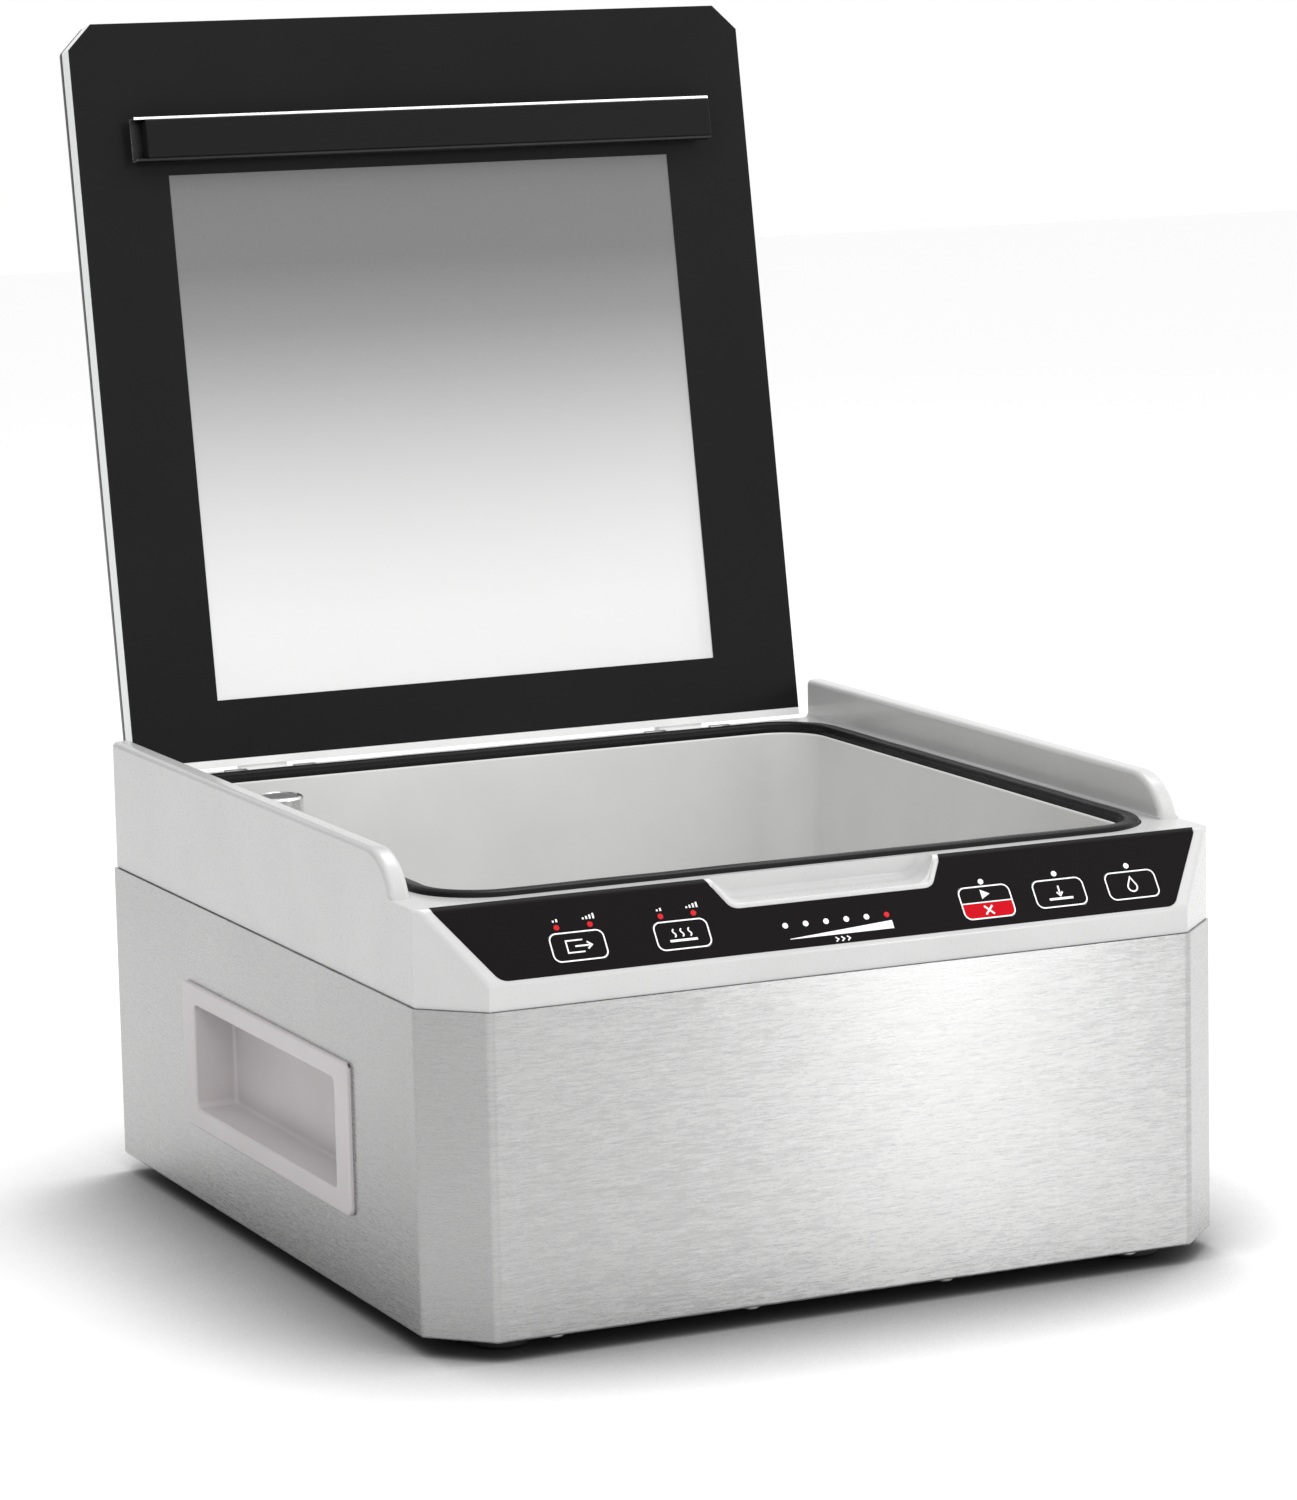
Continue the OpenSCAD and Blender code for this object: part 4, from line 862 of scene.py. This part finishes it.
def roll_over(p):
    """Carries a point above the start of the brow round its arc."""
    x, s, n = slope_of(p)
    if s <= BROW_START:
        return p
    turn = (s - BROW_START) * ROLL_STRETCH / BROW_R
    r = BROW_R + n
    return S(x, BROW_START + r * math.sin(turn), r * math.cos(turn) - BROW_R)


def control_film():
    """The CAD film, cut into strips that follow the brow."""
    bm = from_cad("control_overlay")
    for k in range(ROLL_STEPS):
        geom = bm.verts[:] + bm.edges[:] + bm.faces[:]
        s = BROW_START + (OVERLAY_TOP_S - BROW_START) * k / ROLL_STEPS
        bmesh.ops.bisect_plane(bm, geom=geom, plane_co=S(0, s), plane_no=UP_SLOPE, dist=1e-6)
    for v in bm.verts:
        v.co = roll_over(v.co)
    return bm


place("control_film", control_film(), "overlay_film", 30, nodes=["control_overlay"])


def unit(v):
    return v / (np.linalg.norm(v) or 1)


def ribbon(bm, path, width, closed=False):
    """A printed line along slope points, with mitred turns."""
    n = len(path)
    loops = []
    for k, (x, s) in enumerate(path):
        before = path[(k - 1) % n] if closed or k else path[k]
        after = path[(k + 1) % n] if closed or k < n - 1 else path[k]
        a = unit(np.array(path[k]) - np.array(before))
        b = unit(np.array(after) - np.array(path[k]))
        d = unit(a + b)
        side = np.array([-d[1], d[0]])
        mitre = max(0.5, abs(float(np.dot(side, [-b[1], b[0]])))) if b.any() else 1
        u, v = side * width / 2 / mitre
        left, right = (x + u, s + v), (x - u, s - v)
        loops.append([S(*left, PRINT_TOP), S(*right, PRINT_TOP), S(*right, PRINT_LOW), S(*left, PRINT_LOW)])
    skin(bm, loops, cap_first=not closed, cap_last=not closed, ring=closed)


def blob(bm, outline, high=PRINT_TOP):
    """A printed patch inside an outline."""
    join(bm, prism([S(x, s, PRINT_LOW) for x, s in outline], NORMAL * (high - PRINT_LOW) * MM))


def arrow(bm, start, end, width, head):
    ribbon(bm, [start, end], width)
    d = unit(np.array(end) - np.array(start))
    side = np.array([-d[1], d[0]]) * head * 0.8
    tip = np.array(end) + d * 0.3
    foot = tip - d * head
    ribbon(bm, [tuple(foot + side), tuple(tip), tuple(foot - side)], width)


def key_mark(bm, node, x, s):
    """The generic picture on a key: bag with arrow, hot bar, start and stop, bar with arrow, drop."""
    if node == "key_vacuum":
        ribbon(bm, [(x + 2.2, s + 2.6), (x - 5.0, s + 2.6), (x - 5.0, s - 2.6), (x + 2.2, s - 2.6)], 0.6)
        arrow(bm, (x - 1.5, s), (x + 5.4, s), 0.7, 1.9)
    elif node == "key_sealing":
        ribbon(bm, [(x - 6.0, s - 2.4), (x + 6.0, s - 2.4)], 1.0)
        for i in (-1, 0, 1):
            wave = [(x + i * 3.4 + 0.55 * math.sin(k * math.pi / 4), s - 0.9 + k * 0.45) for k in range(9)]
            ribbon(bm, wave, 0.6)
    elif node == "key_auto_cancel":
        blob(bm, [(x - 1.6, s + 1.5), (x + 2.3, s + 3.6), (x - 1.6, s + 5.7)])
        for i in (-1, 1):
            ribbon(bm, [(x - 1.9, s - 3.6 - i * 1.9), (x + 1.9, s - 3.6 + i * 1.9)], 0.8)
    elif node == "key_seal":
        ribbon(bm, [(x - 5.5, s - 2.6), (x + 5.5, s - 2.6)], 1.0)
        arrow(bm, (x, s + 3.2), (x, s - 1.0), 0.7, 1.7)
    else:
        drop = arc_points(x, s - 0.9, 2.1, -215, 35, 18)
        ribbon(bm, drop + [(x, s + 3.5)], 0.65, closed=True)


def cancel_half(w, l):
    """The lower half of a key's face as an outline, round at its corners and straight across the middle."""
    low = [(u, v) for u, v in rounded_loop(w, l, 2.9, 8) if v < 0]
    right = sorted([p for p in low if p[0] > 0], key=lambda p: p[1])
    left = sorted([p for p in low if p[0] <= 0], key=lambda p: -p[1])
    return [*right, (w / 2, -0.2), (-w / 2, -0.2), *left]


for node, (x, s, w, l) in keys.items():
    bm = bmesh.new()
    ribbon(bm, [(x + u, s + v) for u, v in rounded_loop(w - 0.8, l - 0.8, 3.1, 8)], 0.6, closed=True)
    key_mark(bm, node, x, s)
    if node == "key_auto_cancel":
        ribbon(bm, [(x - w / 2 + 0.5, s), (x + w / 2 - 0.5, s)], 0.5)
        red = bmesh.new()
        blob(red, [(x + u, s + v) for u, v in cancel_half(w - 1.2, l - 1.2)], high=FILM_TOP + 0.03)
        place("cancel_field", red, "cancel_film", body=node, looks=["red_print"])
    place(node + "_print", bm, "key_film", body=node, looks=["white_print"])


def panel_marks():
    """Level bars over the mode lamps, the progress wedge and its chevrons."""
    bm = bmesh.new()
    for index, (x, s) in enumerate(p for p in red_lenses if p[1] > 15):
        bars = 2 if index % 2 == 0 else 4
        for b in range(bars):
            foot = (x - (bars - 1) * 0.75 + b * 1.5, s + 2.4)
            ribbon(bm, [foot, (foot[0], foot[1] + 0.8 + 0.5 * b)], 0.75)
    progress = sorted(p for p in red_lenses + white_lenses if p[1] < 15)
    left, right = progress[0][0] + 0.5, progress[-1][0] + 1.6
    blob(bm, [(left, 5.1), (right, 5.1), (right, 8.7), (left, 5.35)])
    for i in range(3):
        cx = (left + right) / 2 - 3 + i * 2.6
        ribbon(bm, [(cx - 0.6, 4.0), (cx + 0.6, 3.0), (cx - 0.6, 2.0)], 0.55)
    return bm


place("panel_print", panel_marks(), "overlay_film", looks=["white_print"])

# ---- Chamber, gasket and vacuum port ----

TUB_CORNER_STEPS = 14
TUB_FLOOR_T = 3
TUB_FILLET = 9.0
TUB_TAPER = 12
MOUTH_W, MOUTH_D = 310, 314
NECK_W, NECK_D, NECK_R = 313.6, 317.6, 22.8
FLANGE_W, FLANGE_D, FLANGE_R = 337.6, 336.6, 29
PORT_R = 8.05


def chamber_tub():
    """The tub as one skin: up its outside, over the flange and the lip, and down its tapered inside."""
    low, high = box_mm("chamber_tub")
    floor_z, lip_z = low[Z] + TUB_FLOOR_T, high[Z]
    rows = []

    def row(w, d, r, z, cy=CHAMBER_Y):
        rows.append([P(x, y, z) for x, y in rounded_loop(w, d, r, TUB_CORNER_STEPS, cy=cy)])

    outer_r = TUB_FILLET + TUB_FLOOR_T
    for k in range(7):
        t = math.radians(90 * k / 6)
        inset = outer_r * (1 - math.sin(t))
        row(304.2 - 2 * inset, 308.2 - 2 * inset, max(6, 23.5 - inset), low[Z] + outer_r * (1 - math.cos(t)))
    row(315.6, 319.6, 23.8, 171.9)
    for z in (172.0, 174.8):
        row(FLANGE_W, FLANGE_D, FLANGE_R, z, CHAMBER_Y + 1.5)
    row(NECK_W, NECK_D, NECK_R, 175.0)
    for t in (0, 30, 60, 90):
        a = math.radians(t)
        shrink = 1.6 * (1 - math.cos(a))
        row(NECK_W - shrink, NECK_D - shrink, NECK_R, lip_z - 0.8 + 0.8 * math.sin(a))
    lip_r = 0.9
    for t in (90, 60, 30, 0):
        a = math.radians(t)
        grow = 2 * lip_r * (1 - math.cos(a))
        row(MOUTH_W + grow, MOUTH_D + grow, 21.5, lip_z - lip_r + lip_r * math.sin(a))

    def inner(z, inset):
        taper = TUB_TAPER * (lip_z - z) / (lip_z - floor_z) + 2 * inset
        row(MOUTH_W - taper, MOUTH_D - taper, max(8, 21 - inset * 0.5), z)

    for k in range(1, 9):
        inner(lip_z - lip_r - (lip_z - lip_r - floor_z - TUB_FILLET) * k / 8, 0)
    for k in range(1, 9):
        t = math.radians(90 * k / 8)
        inner(floor_z + TUB_FILLET * (1 - math.sin(t)), TUB_FILLET * (1 - math.cos(t)))
    bm = bmesh.new()
    skin(bm, rows, cap_first=True, cap_last=True)
    outward(bm)

    posts_low, posts_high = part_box("post_seals")
    port_low, port_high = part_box("port_standpipe")
    reach = (posts_high.x - posts_low.x) / 2 - 10 * MM
    posts_y = ((posts_low + posts_high) / 2).y
    port = (port_low + port_high) / 2
    holes = bmesh.new()
    for x, y in ((-reach, posts_y), (reach, posts_y), (port.x, port.y)):
        lathe(holes, [(PORT_R, 0), (PORT_R, 14)], Vector((x, y, (floor_z - 8) * MM)), (0, 0, 1), 32)
    return boolean(bm, holes)


place("chamber_tub_skin", chamber_tub(), "chamber_plastic", 40, nodes=["chamber_tub"])

GASKET_HALF_W = box_mm("chamber_gasket")[1][X] - 4
GASKET_D = GASKET_HALF_W * 2 + 4
GASKET_R = 26.8
CORNER_STEPS = 16
SIDE_STEPS = 28


def gasket_path():
    """Points round the gasket's middle line, each with its outward direction."""
    path = []
    for k, ((i, j), (ex, ey)) in enumerate(zip(QUARTERS, [(0, 1), (-1, 0), (0, -1), (1, 0)])):
        cx, cy = i * (GASKET_HALF_W - GASKET_R), CHAMBER_Y + j * (GASKET_D / 2 - GASKET_R)
        for m in range(CORNER_STEPS + 1):
            a = math.radians(-90 + 90 * k + 90 * m / CORNER_STEPS)
            path.append((cx + GASKET_R * math.cos(a), cy + GASKET_R * math.sin(a), math.cos(a), math.sin(a)))
        straight = (GASKET_D if k % 2 == 0 else 2 * GASKET_HALF_W) - 2 * GASKET_R
        x0, y0, nx, ny = path[-1]
        for m in range(1, SIDE_STEPS):
            along = straight * m / SIDE_STEPS
            path.append((x0 + ex * along, y0 + ey * along, nx, ny))
    return path


def chamber_gasket():
    """A rubber bulb on a foot in the deck's groove, not quite straight, as soft rubber lies."""
    foot_z = box_mm("chamber_gasket")[0][Z]
    bulb_z = DECK_Z + 1.0
    right = [(3.9, foot_z), (3.95, DECK_Z - 0.6), (3.6, DECK_Z + 0.05), (3.25, DECK_Z + 0.3), (3.15, bulb_z)]
    turns = [math.radians(t) for t in range(15, 166, 15)]
    bulb = [(3.15 * math.cos(t), bulb_z + 1.45 * math.sin(t)) for t in turns]
    profile = [(-3.9, foot_z), *right, *bulb, *[(-u, z) for u, z in right[:0:-1]]]
    path = gasket_path()
    loops = []
    run = 0.0
    for k, (x, y, nx, ny) in enumerate(path):
        run += math.hypot(x - path[k - 1][0], y - path[k - 1][1]) if k else 0
        long_wave, short_wave, dip_wave = (math.sin(run * 2 * math.pi / length) for length in (47, 19, 61))
        loop = []
        for u, z in profile:
            lift = max(0.0, (z - DECK_Z) / BULB_H)
            out = u + 0.10 * lift * long_wave + 0.05 * lift * short_wave
            loop.append(P(x + nx * out, y + ny * out, z - 0.05 * lift * (1 + dip_wave)))
        loops.append(loop)
    bm = bmesh.new()
    skin(bm, loops, ring=True)
    return bm


place("chamber_gasket_bulb", chamber_gasket(), "gasket_rubber", 50, nodes=["chamber_gasket"])

CAP_BORE_R = 8.2


def port_cap():
    """The vacuum port's bright cap ring and the dull inset in its top."""
    low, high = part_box("port_cap")
    centre = Vector(((low.x + high.x) / 2, (low.y + high.y) / 2, low.z))
    r = (high.x - low.x) / 2 / MM
    h = (high.z - low.z) / MM
    profile = [
        (CAP_BORE_R, 0.0), (r - 0.5, 0.0), (r, 0.5), (r, h - 1.4), (r - 0.15, h - 0.8), (r - 0.5, h - 0.3),
        (r - 1.0, h - 0.05), (r - 1.7, h), (r - 2.1, h - 0.25), (r - 2.2, h - 0.9), (0.02, h - 0.9),
        (0.02, h - 3.0), (CAP_BORE_R, h - 3.0),
    ]
    turns = [2 * math.pi * i / 72 for i in range(72)]
    ring = bmesh.new()
    skin(ring, [
        [centre + Vector((radius * math.cos(a), radius * math.sin(a), z)) * MM for a in turns]
        for radius, z in profile
    ], ring=True)
    place("port_cap_ring", ring, "chrome_cap", 35, nodes=["port_cap"])
    rim = r - 2.35
    dome = [(rim, h - 0.88), (rim, h - 0.55), (rim - 0.35, h - 0.35), (4, h - 0.28), (0.05, h - 0.25)]
    inset = lathe(bmesh.new(), dome, centre, (0, 0, 1), 48)
    place("port_cap_inset", inset, "black_plastic", 35, looks=["cap_inset"])


port_cap()

# ---- Hand recesses ----

for node in ("left_handle_cup", "right_handle_cup"):
    bm = from_cad(node)
    back_x, face_x = sorted(abs(corner[X]) for corner in box_mm(node))
    bevel(bm, lambda a, b: ends_at(a, b, X, face_x), 1.1, 4)
    bevel(bm, lambda a, b: ends_at(a, b, X, back_x + 2), 1.8, 4)
    place(node + "_skin", bm, "handle_plastic", 30, nodes=[node])

# ---- Lid ----


def lid_plan():
    """Outline of the lid, with its front corners cut."""
    w = LID_HALF_W
    right = [(w, 0), (w, LID_L - LID_CUT), (w - LID_CUT, LID_L)]
    return [(-w, 0), *right, *[(-x, s) for x, s in right[:0:-1]]]


OUT = (L(0, 0, 1) - L(0, 0, 0)).normalized()


def lid_sheet(h0, h1, edge, window=True, segments=3):
    """A sheet of the lid between two heights, with its outer edges rounded."""
    bm = prism([L(x, s, h0) for x, s in lid_plan()], OUT * (h1 - h0) * MM)
    round_edges(bm, bm.edges[:], edge, segments)
    if window:
        right = [(WINDOW_X, WINDOW_LOW_S), (WINDOW_X, WINDOW_HIGH_S)]
        cut = [(-WINDOW_X, WINDOW_LOW_S), *right, (-WINDOW_X, WINDOW_HIGH_S)]
        bm = boolean(bm, prism([L(x, s, h0 - 1) for x, s in cut], OUT * (h1 - h0 + 2) * MM))
        flatten(bm, 0.3)
    return bm


COVER_H, PANE_H, PRINT_H = -14.0, -10.0, -0.4
place("lid_pane", lid_sheet(PANE_H, PRINT_H, 0.5, window=False), "clear_acrylic", 30, "lid", ["lid_plate"])
place("lid_border_print", lid_sheet(PRINT_H, 0.0, 0.12, segments=2), "mask_print", 30, "lid", ["lid_mask"])
place("lid_outer_sheet", lid_sheet(COVER_H, PANE_H, 1.0), "lid_cover_grey", 30, "lid", ["lid_outer_cover"])


def crisp_edges(bm):
    return [e for e in bm.edges if len(e.link_faces) == 2 and e.calc_face_angle(0) > 0.6]


def counter_bar():
    """The channel, bright where it is cut and with a painted highlight along its top edge, and its pad."""
    bm = from_cad("counter_bar_channel")
    round_edges(bm, crisp_edges(bm), 0.18, 2, clamp=True)
    mesh = finish_mesh(bm, "counter_channel", 30)
    to_closed = lid_turn.inverted()
    for poly in mesh.polygons:
        at = to_closed @ poly.center
        s = LID_REAR_Y - (at.y / MM - BODY_Y)
        h = LID_Z - at.z / MM
        # the bright metal is bare metal on the cut end and a painted highlight along the top edge
        painted_highlight = h > 11.7 and s > 290.5
        cut_end = poly.normal.x < -0.8 and h > 4.9 and at.x < -0.14
        if painted_highlight or cut_end:
            poly.material_index = 1
    place("counter_channel", mesh, "channel_aluminium", body="lid", nodes=["counter_bar_channel"],
          looks=["channel_aluminium", "channel_edge"])
    pad = from_cad("counter_bar_pad")
    round_edges(pad, crisp_edges(pad), 0.9, 4, clamp=True)
    place("counter_pad", pad, "pad_silicone", 40, "lid", ["counter_bar_pad"])


counter_bar()

# ---- Screws ----


def screw_head(bm, at, axis, r, h):
    """A pan head with a cross recess. at is the middle of its underside, axis points out of the head."""
    side = axis.orthogonal().normalized()
    other = axis.cross(side)
    profile = [
        (r * 0.5, 0), (r, 0), (r, h * 0.35), (r * 0.94, h * 0.6), (r * 0.75, h * 0.86), (r * 0.42, h * 0.98),
        (0.03, h),
    ]
    head = lathe(bmesh.new(), profile, at, axis, 32)
    arm, half = r * 0.52, r * 0.12
    quarter = [(arm, -half), (arm, half), (half, half)]
    cross = []
    for _ in range(4):
        cross += quarter
        quarter = [(-v, u) for u, v in quarter]
    cutter = prism([at + (side * u + other * v + axis * h * 0.35) * MM for u, v in cross], axis * h * MM)
    join(bm, boolean(head, cutter))


SCREW_GAP = 14


def screws(node, axis, head_r, head_h, shank_r):
    """Cross-recess screws in place of a node's plain ones. axis points out of the heads."""
    axis = Vector(axis)
    bm = bmesh.new()
    for corners in spans([v.co.copy() for v in frame["nodes"][node].data.vertices], SCREW_GAP * MM):
        low, high = Vector(corners[0]), Vector(corners[1])
        half = abs((high - low).dot(axis)) / 2
        under_head = (low + high) / 2 + axis * (half - head_h * MM)
        screw_head(bm, under_head, axis, head_r, head_h)
        end = 2 * half / MM - head_h
        shank = [(shank_r, 0.05), (shank_r, end - 0.6), (shank_r - 0.6, end)]
        join(bm, lathe(bmesh.new(), shank, under_head, -axis, 24))
    place(node + "_cross", bm, "screw_steel", 30, nodes=[node])


screws("base_screws", (0, 0, -1), 3.6, 1.8, 2)
screws("foot_screws", (0, 0, -1), 3.6, 1.8, 2)
screws("rear_screws", (0, 1, 0), 3.1, 1.8, 1.7)


def soften(node):
    """Rounds a CAD node's edges with modifiers alone."""
    obj = frame["nodes"][node]
    weld = obj.modifiers.new("weld", "WELD")
    weld.merge_threshold = 4e-6
    rounding = obj.modifiers.new("edges", "BEVEL")
    rounding.width = 0.3 * MM
    rounding.segments = 2
    rounding.limit_method = "ANGLE"
    rounding.angle_limit = math.radians(38)
    rounding.harden_normals = True


for node in (
    "rear_panel", "base_plate", "hinge_brackets", "lid_hinge_rail", "seal_bar", "seal_tape", "feet",
    "power_inlet", "switch_housing", "switch_rocker", "fan_frame", "fan_rotor", "port_standpipe",
    "transformer_core", "transformer_coil", "power_board", "pump_heads", "pump_crankcases", "pump_motor",
    "vacuum_valve", "vent_valve",
):
    soften(node)

# ---- Camera, light and floor ----

CAMERA_AT = (-0.9249, -2.0618, 0.5642)
AZIMUTH, ELEVATION, ROLL = math.radians(-24.55), math.radians(9.176), math.radians(-1.223)

camera_data = bpy.data.cameras.new("camera")
camera_data.lens = 125.46
camera_data.sensor_width = 36
camera = bpy.data.objects.new("camera", camera_data)
collection.objects.link(camera)
level = math.cos(ELEVATION)
back = Vector((math.sin(AZIMUTH) * level, -math.cos(AZIMUTH) * level, math.sin(ELEVATION)))
right = Vector((0, 0, 1)).cross(back).normalized()
up = back.cross(right)
turned_right = right * math.cos(ROLL) + up * math.sin(ROLL)
turned_up = up * math.cos(ROLL) - right * math.sin(ROLL)
camera.matrix_world = Matrix((*zip(turned_right, turned_up, back, CAMERA_AT), (0, 0, 0, 1)))
scene.camera = camera

WORLD_DARK, WORLD_LIGHT = 0.76, 1.36
world = bpy.data.worlds.new("world")
world.use_nodes = True
sky = world.node_tree
direction = sky.nodes.new("ShaderNodeTexCoord").outputs["Generated"]


def facing(toward):
    """How far a direction of the sky faces another, as a cosine."""
    node = sky.nodes.new("ShaderNodeVectorMath")
    node.operation = "DOT_PRODUCT"
    node.inputs[1].default_value = Vector(toward).normalized()
    sky.links.new(direction, node.inputs[0])
    return node.outputs["Value"]


def fade(value, start, full, low, high, curve="LINEAR"):
    """value from start..full to low..high."""
    node = sky.nodes.new("ShaderNodeMapRange")
    node.interpolation_type = curve
    for socket, number in (("From Min", start), ("From Max", full), ("To Min", low), ("To Max", high)):
        node.inputs[socket].default_value = number
    sky.links.new(value, node.inputs["Value"])
    return node.outputs["Result"]


def flag(strength, toward, start, full, depth):
    """Takes depth off the world's strength round a direction, between two cosines."""
    less = sky.nodes.new("ShaderNodeMath")
    less.operation = "SUBTRACT"
    sky.links.new(strength, less.inputs[0])
    sky.links.new(fade(facing(toward), start, full, 0, depth, "SMOOTHSTEP"), less.inputs[1])
    return less.outputs[0]


lit = fade(facing((0.80, -0.52, 0.30)), -1, 1, WORLD_DARK, WORLD_LIGHT)
lit = flag(lit, (-0.93, 0.30, 0.0), 0.25, 0.75, 0.52)
lit = flag(lit, (0.12, -0.99, 0.0), 0.94, 0.99, 0.55)
seen = sky.nodes.new("ShaderNodeMix")
seen.inputs["B"].default_value = 1.0
sky.links.new(sky.nodes.new("ShaderNodeLightPath").outputs["Is Camera Ray"], seen.inputs["Factor"])
sky.links.new(lit, seen.inputs["A"])
sky.links.new(seen.outputs["Result"], sky.nodes["Background"].inputs["Strength"])
sky.nodes["Background"].inputs["Color"].default_value = (1, 1, 1, 1)
scene.world = world
scene.view_settings.view_transform = "Standard"


def softbox(name, at, aim, size, power, mirrored=True):
    """A rectangular studio light. Shiny pieces show its reflection only if it is mirrored."""
    data = bpy.data.lights.new(name, "AREA")
    data.shape = "RECTANGLE"
    data.size, data.size_y = size
    data.energy = power
    obj = bpy.data.objects.new(name, data)
    collection.objects.link(obj)
    obj.location = at
    obj.visible_glossy = mirrored
    obj.rotation_euler = (Vector(aim) - Vector(at)).to_track_quat("-Z", "Y").to_euler()


middle = (CAD_BOX[0] + CAD_BOX[1]) / 2
softbox("key", middle + Vector((1.3, -1.3, 1.2)), middle, (0.7, 1.3), 4)
softbox("overhead", middle + Vector((0.75, 0.55, 2.0)), middle, (1.1, 1.1), 15)
softbox("fill", middle + Vector((-1.1, -0.9, 1.5)), middle, (0.9, 0.9), 9, mirrored=False)
softbox("strip", Vector((1.0, -2.1, 0.24)), Vector((0, 0, 0.1)), (0.16, 0.44), 2.8)

FLOOR_HALF = 6
CONTACT_REACH = 0.14
PAINTED_CONTACT_SHADOW = [(0.0, 0.07), (0.3, 0.14), (0.6, 0.42), (0.85, 0.88), (1.0, 0.95)]


def floor_paint(name):
    """Pale floor with a painted contact shadow: its colour darkens where the body stands close over it."""
    k = Nodes(name)
    near_by = k.add("ShaderNodeAmbientOcclusion", {"Distance": CONTACT_REACH}, samples=8)
    fine = k.noise(60, detail=3)
    open_sky = k.math("ADD", near_by.outputs["AO"], k.span(fine, -0.004, 0.004))
    k.set(
        # painted shadow: the base colour darkens as less open sky is seen from each spot
        Base_Color=k.ramp(open_sky, PAINTED_CONTACT_SHADOW),
        Roughness=k.span(fine, 0.75, 0.85),
        Specular_IOR_Level=0.1,
    )


floor_paint("floor")
floor_bm = bmesh.new()
ends = (-FLOOR_HALF, FLOOR_HALF)
skin(floor_bm, [[(x, y, 0) for x in ends] for y in ends], closed=False)
floor = bpy.data.objects.new("floor", finish_mesh(floor_bm, "floor", 32))
collection.objects.link(floor)
floor.data.materials.append(materials["floor"])
